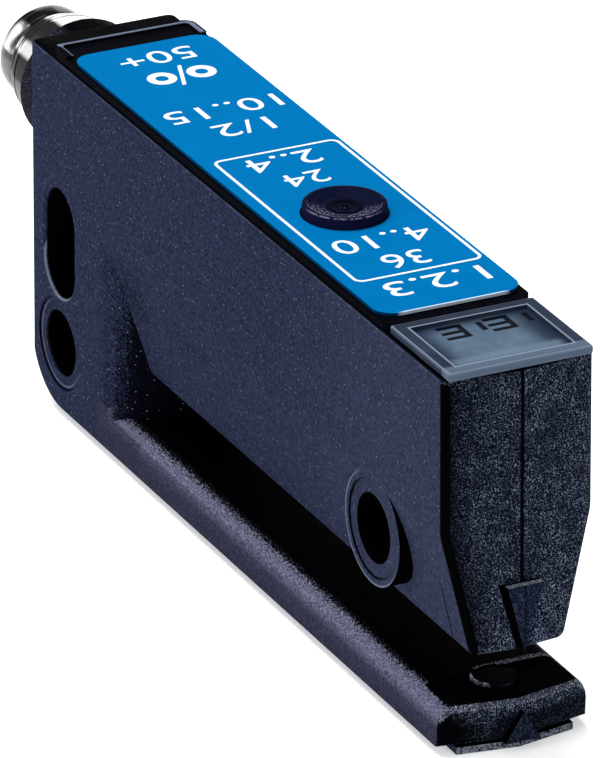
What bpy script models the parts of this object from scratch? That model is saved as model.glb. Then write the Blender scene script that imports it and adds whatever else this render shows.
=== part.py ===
"""Fork light barrier with a teach button, a round metal connector and three mounting openings.

The moulded housing lies along X with its fork open towards +X. Z is up and Y runs across.
The origin is under the middle of the part, on the face that it stands on.
"""

import math

import bmesh
import bpy
from mathutils import Matrix, Vector

MM = 0.001

# Clearances
FIT = 0.05 * MM
SLIDING_FIT = 0.12 * MM
OVERCUT = 1.0 * MM
WELD = 0.0005 * MM

# Housing
BODY_LENGTH = 57.6 * MM
BODY_WIDTH = 10.0 * MM
WALL_TOP_ROUNDING = 0.2 * MM
REAR_EDGE_ROUNDING = 0.5 * MM
REAR_CORNER_RADIUS = 4.4 * MM
FRONT_EDGE_ROUNDING = 0.5 * MM

# Fork: the block behind it, then upper jaw, gap and lower arm
ROOT_LENGTH = 15.1 * MM
JAW_DROP = 18.05 * MM
JAW_KNEE_DROP = 10.0 * MM
JAW_KNEE_ROUNDING = 3.0 * MM
JAW_BOTTOM_WIDTH = 6.2 * MM
JAW_BOTTOM_ROUNDING = 0.6 * MM
FORK_GAP = 3.0 * MM
ARM_HEIGHT = 2.83 * MM
ARM_SHOULDER_RADIUS = 1.6 * MM
ARM_TIP_LENGTH = 3.65 * MM
ARM_TIP_STEP = 0.25 * MM
ARM_EDGE_ROUNDING = 0.4 * MM

# Front end: both mould halves fall back from a ridge at the middle
RIDGE_REACH_TOP = 0.15 * MM
RIDGE_REACH = 0.55 * MM
MARK_REACH = 1.0 * MM
JAW_FALL_BACK = 0.10
ARM_FALL_BACK = 0.17
MARK_HALF_WIDTH = 1.2 * MM
JAW_MARK_HEIGHT = 4.5 * MM
ARM_MARK_HEIGHT = 1.9 * MM

# Mounting openings
HOLE_RADIUS = 2.2 * MM
COUNTERBORE_RADIUS = 3.1 * MM
COUNTERBORE_DEPTH = 0.1 * MM
REAR_HOLE_INSET = 4.25 * MM
REAR_HOLE_RISE = 4.48 * MM
SLOT_LOWER_DROP = 13.95 * MM
SLOT_TRAVEL = 3.0 * MM
SLOT_CHAMFER = 0.15 * MM
FRONT_HOLE_INSET = 9.32 * MM
FRONT_HOLE_DROP = 13.3 * MM
BOSS_RADIUS = 3.6 * MM
BOSS_SETBACK = 0.05 * MM

# Inside of the housing
SIDE_WALL = 1.1 * MM
REAR_WALL = 3.6 * MM
FRONT_WALL = 1.4 * MM
BOARD_LEDGE = 0.6 * MM
CAVITY_MARGIN = 0.1 * MM
CHANNEL_MARGIN = 0.4 * MM
SHAFT_SETBACK = 4.5 * MM
SHAFT_LENGTH = 2.8 * MM
SHAFT_WIDTH = 4.0 * MM
ARM_ROOF = 0.9 * MM
CHANNEL_WIDTH = 5.4 * MM

# Arm cover, which the part stands on
STRIP_DROP = 0.52 * MM
STRIP_WIDTH = 7.8 * MM
STRIP_GAP = 0.06 * MM
STRIP_PLUG = 0.3 * MM

# Top cover and label
COVER_SIDE_INSET = 0.15 * MM
COVER_THICKNESS = 0.5 * MM
COVER_REAR_INSET = 3.0 * MM
COVER_FRONT_INSET = 7.85 * MM
COVER_CORNER_RADIUS = 0.8 * MM
COVER_SKIRT_DEPTH = 0.6 * MM
COVER_SKIRT_WALL = 0.6 * MM
RIM_WIDTH = 0.45 * MM
RIM_HEIGHT = 0.2 * MM
RIM_ARM_LENGTH = 2.3 * MM
LABEL_SIDE_INSET = 0.075 * MM
LABEL_THICKNESS = 0.2 * MM
LABEL_REAR_INSET = 5.6 * MM
LABEL_FRONT_INSET = 8.65 * MM
LABEL_CORNER_RADIUS = 0.8 * MM

# Indicator window
WINDOW_LENGTH = 7.7 * MM
WINDOW_SIDE_INSET = 0.25 * MM
WINDOW_HEIGHT = 0.62 * MM
WINDOW_RIM = 0.9 * MM
WINDOW_RECESS = 0.28 * MM
WINDOW_EDGE = 0.15 * MM
WINDOW_SKIRT_DEPTH = 0.6 * MM
WINDOW_SKIRT_WALL = 0.5 * MM

# Teach button and its switch
BUTTON_INSET = 23.1 * MM
BUTTON_SIDE_MARGIN = 2.4 * MM
BUTTON_RISE = 0.7 * MM
BUTTON_RIM = 0.35 * MM
BUTTON_STEP_INSET = 0.85 * MM
BUTTON_DISH = 0.3 * MM
BUTTON_DOT_RADIUS = 0.3 * MM
BUTTON_EDGE = 0.12 * MM
FLANGE_EXTRA = 0.5 * MM
FLANGE_HEIGHT = 0.4 * MM
STEM_RADIUS = 1.0 * MM
SEAL_WALL = 0.3 * MM
TRAVEL = 0.3 * MM
SWITCH_LENGTH = 3.6 * MM
SWITCH_WIDTH = 3.0 * MM
SWITCH_HEIGHT = 1.0 * MM
SWITCH_FLOOR = 0.25 * MM
PLUNGER_RADIUS = 0.7 * MM
PLUNGER_RISE = 0.6 * MM

# Boards and parts on them
BOARD_THICKNESS = 0.8 * MM
CHIP_LENGTH = 4.0 * MM
CHIP_HEIGHT = 0.9 * MM
CONTROLLER_INSET = 33.0 * MM
DRIVER_SETBACK = 14.6 * MM
DRIVER_LENGTH = 3.0 * MM
INDICATOR_INSET = 5.7 * MM
INDICATOR_EDGE_INSET = 0.9 * MM
INDICATOR_LENGTH = 2.0 * MM
INDICATOR_WIDTH = 1.3 * MM
INDICATOR_HEIGHT = 1.1 * MM
ARM_BOARD_THICKNESS = 0.6 * MM
ARM_BOARD_WIDTH = 5.0 * MM
RIBBON_THICKNESS = 0.15 * MM
RIBBON_WIDTH = 3.0 * MM
RIBBON_FOOT = 1.0 * MM

# Optics
LENS_INSET = 2.85 * MM
WELL_RADIUS = 1.5 * MM
LENS_FLANGE_RADIUS = 1.4 * MM
LENS_STEM_RADIUS = 1.1 * MM
LENS_FLANGE_HEIGHT = 0.45 * MM
JAW_FLOOR = 0.85 * MM
LENS_RING_RADIUS = 1.5 * MM
LENS_RING_DROP = 0.05 * MM
EMITTER_RADIUS = 1.1 * MM
EMITTER_HEIGHT = 2.6 * MM
LEAD_RADIUS = 0.2 * MM
LEAD_SPACING = 1.2 * MM
RECEIVER_LENGTH = 2.4 * MM
RECEIVER_HEIGHT = 0.4 * MM

# Connector
CONNECTOR_REACH = 8.8 * MM
COLLAR_LENGTH = 3.0 * MM
COLLAR_INSET = 0.5 * MM
SHELL_LIP_RADIUS = 3.3 * MM
SHELL_LIP_LENGTH = 1.85 * MM
SHELL_GROOVE_RADIUS = 3.1 * MM
SHELL_GROOVE_LENGTH = 0.25 * MM
SHELL_BAND_RADIUS = 3.35 * MM
SHELL_BAND_LENGTH = 0.8 * MM
SHELL_RADIUS = 3.75 * MM
SHELL_ROOT_RADIUS = 3.85 * MM
SHELL_NECK_WALL = 0.1 * MM
SHELL_NECK_LENGTH = 2.4 * MM
SHELL_EDGE = 0.15 * MM
SOCKET_RADIUS = 2.6 * MM
SOCKET_DEPTH = 4.4 * MM
ORING_RADIUS = 0.3 * MM
PIN_RADIUS = 0.5 * MM
PIN_SPACING = 2.4 * MM
PIN_RECESS = 0.8 * MM
PIN_TAIL = 1.8 * MM
INSERT_TAIL = 0.1 * MM

# Places worked out from the sizes above
HALF_WIDTH = BODY_WIDTH / 2
BODY_HEIGHT = JAW_DROP + FORK_GAP + ARM_HEIGHT
OVERALL_LENGTH = CONNECTOR_REACH + BODY_LENGTH + MARK_REACH
FRONT_X = OVERALL_LENGTH / 2 - MARK_REACH
REAR_X = FRONT_X - BODY_LENGTH
CONNECTOR_END_X = REAR_X - CONNECTOR_REACH
BODY_BASE_Z = STRIP_DROP
TOP_Z = BODY_BASE_Z + BODY_HEIGHT
JAW_BOTTOM_Z = TOP_Z - JAW_DROP
ARM_TOP_Z = JAW_BOTTOM_Z - FORK_GAP
ROOT_AXIS_X = REAR_X + ROOT_LENGTH - HALF_WIDTH
GAP_MIDDLE_Z = JAW_BOTTOM_Z - FORK_GAP / 2
LENS_X = FRONT_X - LENS_INSET
CONNECTOR_Z = TOP_Z - HALF_WIDTH
BOARD_SEAT_Z = CONNECTOR_Z + PIN_SPACING / 2 + PIN_RADIUS + FIT
BOARD_BASE_Z = BOARD_SEAT_Z + FIT
BOARD_TOP_Z = BOARD_BASE_Z + BOARD_THICKNESS
CAVITY_FLOOR_Z = CONNECTOR_Z - SOCKET_RADIUS - CAVITY_MARGIN
CAVITY_HALF_WIDTH = HALF_WIDTH - SIDE_WALL
LEDGE_HALF_WIDTH = CAVITY_HALF_WIDTH - BOARD_LEDGE
BOARD_HALF_WIDTH = CAVITY_HALF_WIDTH - 2 * FIT
CAVITY_REAR_X = REAR_X + REAR_WALL
CAVITY_FRONT_X = FRONT_X - FRONT_WALL
SHAFT_X = REAR_X + ROOT_LENGTH - SHAFT_SETBACK
CHANNEL_REAR_X = SHAFT_X - SHAFT_LENGTH / 2 - CHANNEL_MARGIN
CHANNEL_TOP_Z = ARM_TOP_Z - ARM_ROOF
COVER_BASE_Z = TOP_Z + FIT
COVER_TOP_Z = COVER_BASE_Z + COVER_THICKNESS
LABEL_BASE_Z = COVER_TOP_Z + FIT
LABEL_TOP_Z = LABEL_BASE_Z + LABEL_THICKNESS
COVER_HALF_WIDTH = HALF_WIDTH - COVER_SIDE_INSET
LABEL_HALF_WIDTH = COVER_HALF_WIDTH - LABEL_SIDE_INSET
BUTTON_RADIUS = HALF_WIDTH - BUTTON_SIDE_MARGIN
BUTTON_X = FRONT_X - BUTTON_INSET
BUTTON_TOP_Z = LABEL_TOP_Z + BUTTON_RISE
SWITCH_TOP_Z = BOARD_TOP_Z + FIT + SWITCH_HEIGHT
PLUNGER_TOP_Z = SWITCH_TOP_Z + PLUNGER_RISE
COLLAR_END_X = REAR_X - COLLAR_LENGTH
SHELL_NECK_RADIUS = SOCKET_RADIUS + SHELL_NECK_WALL + 2 * ORING_RADIUS

TURNED_STEPS = 48
SMALL_STEPS = 24
ARC_STEPS = 6

AXIS_FRAMES = {
    "X": Matrix(((0, 0, 1), (1, 0, 0), (0, 1, 0))),
    "Y": Matrix(((1, 0, 0), (0, 0, -1), (0, 1, 0))),
    "Z": Matrix.Identity(3),
}

FINISHES = {
    "housing_plastic": ((0.022, 0.025, 0.042), 0.6, 0.0),
    "cover_plastic": ((0.012, 0.013, 0.022), 0.32, 0.0),
    "label_film": ((0.0, 0.22, 0.60), 0.4, 0.0),
    "button_plastic": ((0.014, 0.014, 0.045), 0.3, 0.0),
    "seal_rubber": ((0.01, 0.01, 0.012), 0.7, 0.0),
    "window_plastic": ((0.10, 0.16, 0.24), 0.12, 0.0),
    "lens_plastic": ((0.05, 0.01, 0.012), 0.08, 0.0),
    "board_laminate": ((0.02, 0.14, 0.06), 0.45, 0.0),
    "flex_film": ((0.55, 0.26, 0.06), 0.4, 0.0),
    "chip_plastic": ((0.02, 0.02, 0.022), 0.5, 0.0),
    "indicator_plastic": ((0.75, 0.76, 0.70), 0.35, 0.0),
    "switch_metal": ((0.62, 0.62, 0.60), 0.35, 1.0),
    "switch_plastic": ((0.03, 0.03, 0.03), 0.45, 0.0),
    "emitter_plastic": ((0.05, 0.04, 0.10), 0.12, 0.0),
    "connector_nickel": ((0.68, 0.66, 0.60), 0.16, 1.0),
    "insert_plastic": ((0.015, 0.015, 0.017), 0.5, 0.0),
    "contact_gold": ((0.85, 0.62, 0.25), 0.2, 1.0),
}


def clear_scene():
    for old in list(bpy.data.objects):
        bpy.data.objects.remove(old)


def new_collection(name):
    collection = bpy.data.collections.new(name)
    bpy.context.scene.collection.children.link(collection)
    return collection


def make_materials():
    materials = {}
    for name, (colour, roughness, metallic) in FINISHES.items():
        material = bpy.data.materials.new(name)
        material.use_nodes = True
        shader = material.node_tree.nodes["Principled BSDF"]
        shader.inputs["Base Color"].default_value = (*colour, 1.0)
        shader.inputs["Roughness"].default_value = roughness
        shader.inputs["Metallic"].default_value = metallic
        materials[name] = material
    return materials


clear_scene()
PARTS = new_collection("fork_sensor")
CUTTERS = new_collection("cutters")
MATERIALS = make_materials()


def add_object(name, mesh, finish=None):
    """Links a mesh as a part when it has a finish, and otherwise as a cutter or guide."""
    obj = bpy.data.objects.new(name, mesh)
    if finish is None:
        CUTTERS.objects.link(obj)
        obj.hide_render = True
        obj.display_type = "WIRE"
    else:
        PARTS.objects.link(obj)
        mesh.materials.append(MATERIALS[finish])
    return obj


def fillet(corner, before, after, radius):
    """The points of an arc that rounds one corner of an outline."""
    corner, before, after = Vector(corner), Vector(before), Vector(after)
    towards_before = (before - corner).normalized()
    towards_after = (after - corner).normalized()
    half_angle = towards_before.angle(towards_after) / 2
    centre_way = (towards_before + towards_after).normalized()
    centre = corner + centre_way * (radius / math.sin(half_angle))
    reach = radius / math.tan(half_angle)
    start = corner + towards_before * reach - centre
    sweep = start.angle_signed(corner + towards_after * reach - centre)
    points = []
    for step in range(ARC_STEPS + 1):
        angle = -sweep * step / ARC_STEPS
        points.append(tuple(centre + Matrix.Rotation(angle, 2) @ start))
    return points


def rounded_outline(corners):
    """An outline from (x, y, radius) corners, with each radius made an arc."""
    points = []
    for index, (x, y, radius) in enumerate(corners):
        before = corners[index - 1][:2]
        after = corners[(index + 1) % len(corners)][:2]
        if radius:
            points.extend(fillet((x, y), before, after, radius))
        else:
            points.append((x, y))
    return points


def arc(centre, radius, start_degrees, end_degrees, steps):
    points = []
    for step in range(steps + 1):
        angle = math.radians(start_degrees + (end_degrees - start_degrees) * step / steps)
        points.append((centre[0] + radius * math.cos(angle), centre[1] + radius * math.sin(angle)))
    return points


def rectangle(low, high, radius=0.0):
    corners = [(low[0], low[1]), (high[0], low[1]), (high[0], high[1]), (low[0], high[1])]
    return rounded_outline([(x, y, radius) for x, y in corners])


def place(obj, axis, position):
    """Turns local Z to the named axis and moves the object's origin to the position."""
    obj.matrix_world = Matrix.Translation(position) @ AXIS_FRAMES[axis].to_4x4()


def curve_to_mesh(curve_object, name, finish):
    """Replaces a filled curve with its welded mesh at the same place."""
    bpy.context.view_layer.update()
    evaluated = curve_object.evaluated_get(bpy.context.evaluated_depsgraph_get())
    mesh = bpy.data.meshes.new_from_object(evaluated)
    mesh.materials.clear()
    shape = bmesh.new()
    shape.from_mesh(mesh)
    bmesh.ops.remove_doubles(shape, verts=shape.verts, dist=WELD)
    bmesh.ops.dissolve_limit(
        shape, angle_limit=math.radians(0.5), verts=shape.verts, edges=shape.edges
    )
    bmesh.ops.recalc_face_normals(shape, faces=shape.faces)
    shape.to_mesh(mesh)
    shape.free()
    obj = add_object(name, mesh, finish)
    obj.matrix_world = curve_object.matrix_world
    bpy.data.objects.remove(curve_object)
    return obj


def prism(name, outline, axis, start, end, finish=None):
    """Extrudes a flat outline along an axis: (y, z) for X, (x, z) for Y and (x, y) for Z."""
    curve = bpy.data.curves.new(name, "CURVE")
    curve.dimensions = "2D"
    curve.fill_mode = "BOTH"
    curve.extrude = abs(end - start) / 2
    spline = curve.splines.new("POLY")
    spline.points.add(len(outline) - 1)
    for point, (x, y) in zip(spline.points, outline):
        point.co = (x, y, 0.0, 1.0)
    spline.use_cyclic_u = True
    curve_object = bpy.data.objects.new(name + "_outline", curve)
    CUTTERS.objects.link(curve_object)
    middle = (start + end) / 2
    position = Vector((0.0, 0.0, 0.0))
    position["XYZ".index(axis)] = middle
    place(curve_object, axis, position)
    return curve_to_mesh(curve_object, name, finish)


def box(name, low, high, finish=None):
    """A block between two corners, with its origin at its middle."""
    low, high = Vector(low), Vector(high)
    shape = bmesh.new()
    bmesh.ops.create_cube(shape, size=1.0)
    bmesh.ops.scale(shape, vec=high - low, verts=shape.verts)
    mesh = bpy.data.meshes.new(name)
    shape.to_mesh(mesh)
    shape.free()
    obj = add_object(name, mesh, finish)
    obj.location = (low + high) / 2
    return obj


def rod(name, radius, axis, centre, length, finish=None, steps=TURNED_STEPS):
    """A cylinder on an axis, with its origin at its middle."""
    shape = bmesh.new()
    bmesh.ops.create_cone(
        shape, cap_ends=True, segments=steps, radius1=radius, radius2=radius, depth=length
    )
    mesh = bpy.data.meshes.new(name)
    shape.to_mesh(mesh)
    shape.free()
    mesh.shade_smooth()
    mesh.set_sharp_from_angle(angle=math.radians(40))
    obj = add_object(name, mesh, finish)
    place(obj, axis, Vector(centre))
    return obj


def turned(name, profile, axis, position, finish=None, steps=TURNED_STEPS, ring=False):
    """Turns (radius, height) points, listed down the outer side, about the object's own Z."""
    mesh = bpy.data.meshes.new(name)
    vertices = [(radius, 0.0, height) for radius, height in profile]
    edges = [(index, index + 1) for index in range(len(profile) - 1)]
    if ring:
        edges.append((len(profile) - 1, 0))
    mesh.from_pydata(vertices, edges, [])
    obj = add_object(name, mesh, finish)
    screw = obj.modifiers.new("turn", "SCREW")
    screw.steps = steps
    screw.render_steps = steps
    screw.use_merge_vertices = True
    screw.merge_threshold = WELD
    place(obj, axis, Vector(position))
    return obj


def boolean(target, other, operation):
    """Cuts the other object from the target, or joins it to the target."""
    modifier = target.modifiers.new(other.name, "BOOLEAN")
    modifier.operation = operation
    modifier.object = other
    modifier.solver = "EXACT"
    return target


def cut(target, *cutters):
    for cutter in cutters:
        boolean(target, cutter, "DIFFERENCE")
    return target


def join(target, *others):
    for other in others:
        boolean(target, other, "UNION")
    return target


def bevel(obj, width, segments, degrees):
    """Rounds the edges that are sharper than the given angle."""
    modifier = obj.modifiers.new("rounding", "BEVEL")
    modifier.width = width
    modifier.segments = segments
    modifier.limit_method = "ANGLE"
    modifier.angle_limit = math.radians(degrees)
    return obj


def edit_mesh(obj, change):
    """Runs a change on the object's mesh in world space."""
    shape = bmesh.new()
    shape.from_mesh(obj.data)
    bmesh.ops.transform(shape, matrix=obj.matrix_world, verts=shape.verts)
    change(shape)
    bmesh.ops.recalc_face_normals(shape, faces=shape.faces)
    bmesh.ops.transform(shape, matrix=obj.matrix_world.inverted(), verts=shape.verts)
    shape.to_mesh(obj.data)
    shape.free()


def slice_off(shape, point, normal):
    """Removes what lies on the normal's side of a plane and closes the cut."""
    everything = list(shape.verts) + list(shape.edges) + list(shape.faces)
    bmesh.ops.bisect_plane(
        shape, geom=everything, plane_co=point, plane_no=normal, clear_outer=True
    )
    open_edges = [edge for edge in shape.edges if edge.is_boundary]
    bmesh.ops.edgenet_fill(shape, edges=open_edges)


def cut_ridge(obj, point, fall_back, lean):
    """Gives a front end two faces that fall back from a ridge at the middle."""

    def change(shape):
        for side in (1.0, -1.0):
            slice_off(shape, point, Vector((1.0, side * fall_back, lean)).normalized())

    edit_mesh(obj, change)


def round_edges(obj, chosen, width, segments):
    """Rounds the edges that a test picks in world space."""

    def change(shape):
        edges = [edge for edge in shape.edges if chosen(edge)]
        bmesh.ops.bevel(
            shape,
            geom=edges,
            offset=width,
            segments=segments,
            profile=0.5,
            affect="EDGES",
            clamp_overlap=True,
        )

    edit_mesh(obj, change)


def realise(obj):
    """Replaces the object's modifiers with the mesh that they make, welded and without flat seams."""
    bpy.context.view_layer.update()
    evaluated = obj.evaluated_get(bpy.context.evaluated_depsgraph_get())
    mesh = bpy.data.meshes.new_from_object(evaluated)
    obj.modifiers.clear()
    obj.data = mesh

    def change(shape):
        bmesh.ops.remove_doubles(shape, verts=shape.verts, dist=WELD)
        bmesh.ops.dissolve_limit(
            shape, angle_limit=math.radians(0.1), verts=shape.verts, edges=shape.edges
        )

    edit_mesh(obj, change)


def is_front_edge(edge):
    """True on the outline of a ridged front end, and not on its ridge."""
    fronts = [
        face.normal.x > 0.9 and face.calc_center_median().x > LENS_X for face in edge.link_faces
    ]
    return sum(fronts) == 1


def in_top_plane(edge):
    return all(abs(vertex.co.z - TOP_Z) < FIT / 10 for vertex in edge.verts)


def is_jaw_front_edge(edge):
    above_gap = all(vertex.co.z > GAP_MIDDLE_Z for vertex in edge.verts)
    return above_gap and is_front_edge(edge) and not in_top_plane(edge)


def is_arm_front_edge(edge):
    below_gap = all(vertex.co.z < GAP_MIDDLE_Z for vertex in edge.verts)
    return below_gap and is_front_edge(edge)


def is_top_edge(edge):
    faces = edge.link_faces
    flat = sum(face.normal.z > 0.999 for face in faces)
    return in_top_plane(edge) and flat == 1


def make_block():
    """The housing's plain block, with rounded rear edges and a front that leans out to a ridge."""
    front_x = FRONT_X + OVERCUT
    plan = [
        (front_x, HALF_WIDTH, 0.0),
        (REAR_X, HALF_WIDTH, REAR_EDGE_ROUNDING),
        (REAR_X, -HALF_WIDTH, REAR_EDGE_ROUNDING),
        (front_x, -HALF_WIDTH, 0.0),
    ]
    outline = rounded_outline(plan)
    block = prism("housing", outline, "Z", BODY_BASE_Z, TOP_Z, "housing_plastic")
    lean = (RIDGE_REACH - RIDGE_REACH_TOP) / JAW_DROP
    cut_ridge(block, Vector((FRONT_X + RIDGE_REACH_TOP, 0.0, TOP_Z)), JAW_FALL_BACK, lean)
    return block


def make_rear_corner_cutter():
    """What the large rounding takes from the lower rear corner."""
    radius = REAR_CORNER_RADIUS
    centre = (REAR_X + radius, BODY_BASE_Z + radius)
    outline = [
        (REAR_X - OVERCUT, BODY_BASE_Z + radius),
        (REAR_X - OVERCUT, BODY_BASE_Z - OVERCUT),
        (REAR_X + radius, BODY_BASE_Z - OVERCUT),
    ]
    outline += arc(centre, radius, 270, 180, 12)
    return prism("rear_corner", outline, "Y", -HALF_WIDTH - OVERCUT, HALF_WIDTH + OVERCUT)


def jaw_underside():
    """The jaw's outline across, from one side round the knees, tapers and bottom to the other."""
    half_bottom = JAW_BOTTOM_WIDTH / 2
    knee_z = TOP_Z - JAW_KNEE_DROP
    corners = [
        (-HALF_WIDTH, TOP_Z, 0.0),
        (-HALF_WIDTH, knee_z, JAW_KNEE_ROUNDING),
        (-half_bottom, JAW_BOTTOM_Z, JAW_BOTTOM_ROUNDING),
        (half_bottom, JAW_BOTTOM_Z, JAW_BOTTOM_ROUNDING),
        (HALF_WIDTH, knee_z, JAW_KNEE_ROUNDING),
        (HALF_WIDTH, TOP_Z, 0.0),
    ]
    return rounded_outline(corners)[1:-1]


def arm_upper_side():
    """The arm's outline across, from one side over its wide round shoulders to the other."""
    corners = [
        (HALF_WIDTH, BODY_BASE_Z, 0.0),
        (HALF_WIDTH, ARM_TOP_Z, ARM_SHOULDER_RADIUS),
        (-HALF_WIDTH, ARM_TOP_Z, ARM_SHOULDER_RADIUS),
        (-HALF_WIDTH, BODY_BASE_Z, 0.0),
    ]
    return rounded_outline(corners)[1:-1]


def make_fork_space():
    """What is free about the two arms of the fork, up to the upright half round at its root."""
    outside = HALF_WIDTH + OVERCUT
    jaw = jaw_underside()
    arm = arm_upper_side()
    knee_z = jaw[0][1]
    shoulder_z = arm[0][1]
    outline = jaw + [(outside, knee_z), (outside, shoulder_z)]
    outline += arm + [(-outside, shoulder_z), (-outside, knee_z)]
    space = prism("fork_space", outline, "X", ROOT_AXIS_X, FRONT_X + 2 * OVERCUT)
    centre = (ROOT_AXIS_X, 0.0, (BODY_BASE_Z + TOP_Z) / 2)
    return cut(space, rod("fork_root", HALF_WIDTH, "Z", centre, BODY_HEIGHT))


def make_tip_space():
    """What is free above the arm's tip, which is a little lower than the rest of the arm."""
    outside = HALF_WIDTH + OVERCUT
    low = (FRONT_X - ARM_TIP_LENGTH, -outside, ARM_TOP_Z - ARM_TIP_STEP)
    return box("tip_space", low, (FRONT_X + 2 * OVERCUT, outside, GAP_MIDDLE_Z))


def make_arm_front_cutter():
    """What is cut from the arm's front, which falls back more than the jaw's."""
    outside = HALF_WIDTH + OVERCUT
    ridge_x = FRONT_X + RIDGE_REACH
    side_x = ridge_x - ARM_FALL_BACK * outside
    end_x = FRONT_X + 2 * OVERCUT
    outline = [(ridge_x, 0.0), (side_x, -outside), (end_x, -outside)]
    outline += [(end_x, outside), (side_x, outside)]
    return prism("arm_front", outline, "Z", BODY_BASE_Z - OVERCUT, GAP_MIDDLE_Z)


def make_fork_body():
    """The block with the fork cut from it and its outer edges rounded."""
    body = make_block()
    cut(body, make_fork_space(), make_tip_space(), make_arm_front_cutter())
    realise(body)
    round_edges(body, is_jaw_front_edge, FRONT_EDGE_ROUNDING, 3)
    round_edges(body, is_arm_front_edge, ARM_EDGE_ROUNDING, 3)
    round_edges(body, is_top_edge, WALL_TOP_ROUNDING, 2)
    return body


def make_lens_ring():
    """The raised ring round the lens in the arm's tip."""
    top_z = ARM_TOP_Z - LENS_RING_DROP
    base_z = ARM_TOP_Z - ARM_TIP_STEP - ARM_ROOF / 2
    middle_z = (base_z + top_z) / 2
    length = top_z - base_z
    return rod("lens_ring", LENS_RING_RADIUS, "Z", (LENS_X, 0.0, middle_z), length, steps=32)


def make_mark(name, base_z, tip_z):
    """A raised triangle on the front that points at the light path."""
    outline = [(-MARK_HALF_WIDTH, base_z), (MARK_HALF_WIDTH, base_z), (0.0, tip_z)]
    if tip_z > base_z:
        outline.reverse()
    return prism(name, outline, "X", FRONT_X - OVERCUT, FRONT_X + MARK_REACH)


def make_boss():
    """The round boss about the front mounting hole, on both sides."""
    centre = (FRONT_X - FRONT_HOLE_INSET, 0.0, TOP_Z - FRONT_HOLE_DROP)
    length = BODY_WIDTH - 2 * BOSS_SETBACK
    return rod("boss", BOSS_RADIUS, "Y", centre, length)


def make_collar():
    """The round collar that holds the connector, a little inside the top and both sides."""
    length = COLLAR_LENGTH + OVERCUT
    centre = (REAR_X - COLLAR_LENGTH + length / 2, 0.0, CONNECTOR_Z)
    return rod("collar", HALF_WIDTH - COLLAR_INSET, "X", centre, length)


def make_through_hole(name, x, z):
    return rod(name, HOLE_RADIUS, "Y", (x, 0.0, z), BODY_WIDTH + 2 * OVERCUT)


def make_counterbores(name, x, z, face_y):
    """One shallow counterbore on each side, cut to the same depth below its face."""
    bores = []
    for side in (-1.0, 1.0):
        low = face_y - COUNTERBORE_DEPTH
        middle = side * (low + face_y + OVERCUT) / 2
        length = OVERCUT + COUNTERBORE_DEPTH
        label = name + ("_near" if side < 0 else "_far")
        bores.append(rod(label, COUNTERBORE_RADIUS, "Y", (x, middle, z), length))
    return bores


def slot_outline(x, low_z, high_z, radius):
    """A tall slot with round ends, as (x, z) points."""
    lower = arc((x, low_z), radius, 180, 360, 16)
    upper = arc((x, high_z), radius, 0, 180, 16)
    return lower + upper


def make_slot_cutter():
    """The tall mounting slot with a chamfer round each mouth, as one cutter."""
    x = REAR_X + REAR_HOLE_INSET
    low_z = TOP_Z - SLOT_LOWER_DROP
    outer_y = HALF_WIDTH + OVERCUT
    outer_radius = HOLE_RADIUS + SLOT_CHAMFER + OVERCUT
    edge_y = HALF_WIDTH - SLOT_CHAMFER
    levels = [
        (-outer_y, outer_radius),
        (-edge_y, HOLE_RADIUS),
        (edge_y, HOLE_RADIUS),
        (outer_y, outer_radius),
    ]
    vertices = []
    for y, radius in levels:
        outline = slot_outline(x, low_z, low_z + SLOT_TRAVEL, radius)
        vertices += [(point_x, y, point_z) for point_x, point_z in outline]
    return add_object("slot", lofted_mesh("slot", vertices, len(levels)))


def lofted_mesh(name, vertices, levels):
    """A closed mesh from rings of points, listed one ring after another."""
    count = len(vertices) // levels
    faces = [list(range(count)), list(range(len(vertices) - count, len(vertices)))]
    for start in range(0, len(vertices) - count, count):
        for index in range(count):
            after = (index + 1) % count
            faces.append(
                [start + index, start + after, start + count + after, start + count + index]
            )
    mesh = bpy.data.meshes.new(name)
    mesh.from_pydata(vertices, [], faces)
    shape = bmesh.new()
    shape.from_mesh(mesh)
    bmesh.ops.recalc_face_normals(shape, faces=shape.faces)
    shape.to_mesh(mesh)
    shape.free()
    return mesh


def make_cavity_cutters():
    """The room for the main board with its ledge, the shaft and the channel in the arm."""
    top = TOP_Z + OVERCUT
    upper = box(
        "cavity_upper",
        (CAVITY_REAR_X, -CAVITY_HALF_WIDTH, BOARD_SEAT_Z),
        (CAVITY_FRONT_X, CAVITY_HALF_WIDTH, top),
    )
    lower = box(
        "cavity_lower",
        (CAVITY_REAR_X + BOARD_LEDGE, -LEDGE_HALF_WIDTH, CAVITY_FLOOR_Z),
        (CAVITY_FRONT_X - BOARD_LEDGE, LEDGE_HALF_WIDTH, BOARD_SEAT_Z + OVERCUT),
    )
    shaft = box(
        "shaft",
        (SHAFT_X - SHAFT_LENGTH / 2, -SHAFT_WIDTH / 2, CHANNEL_TOP_Z - OVERCUT / 2),
        (SHAFT_X + SHAFT_LENGTH / 2, SHAFT_WIDTH / 2, CAVITY_FLOOR_Z + OVERCUT),
    )
    channel = box(
        "channel",
        (CHANNEL_REAR_X, -CHANNEL_WIDTH / 2, BODY_BASE_Z - OVERCUT),
        (CAVITY_FRONT_X, CHANNEL_WIDTH / 2, CHANNEL_TOP_Z),
    )
    return [upper, lower, shaft, channel]


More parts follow.
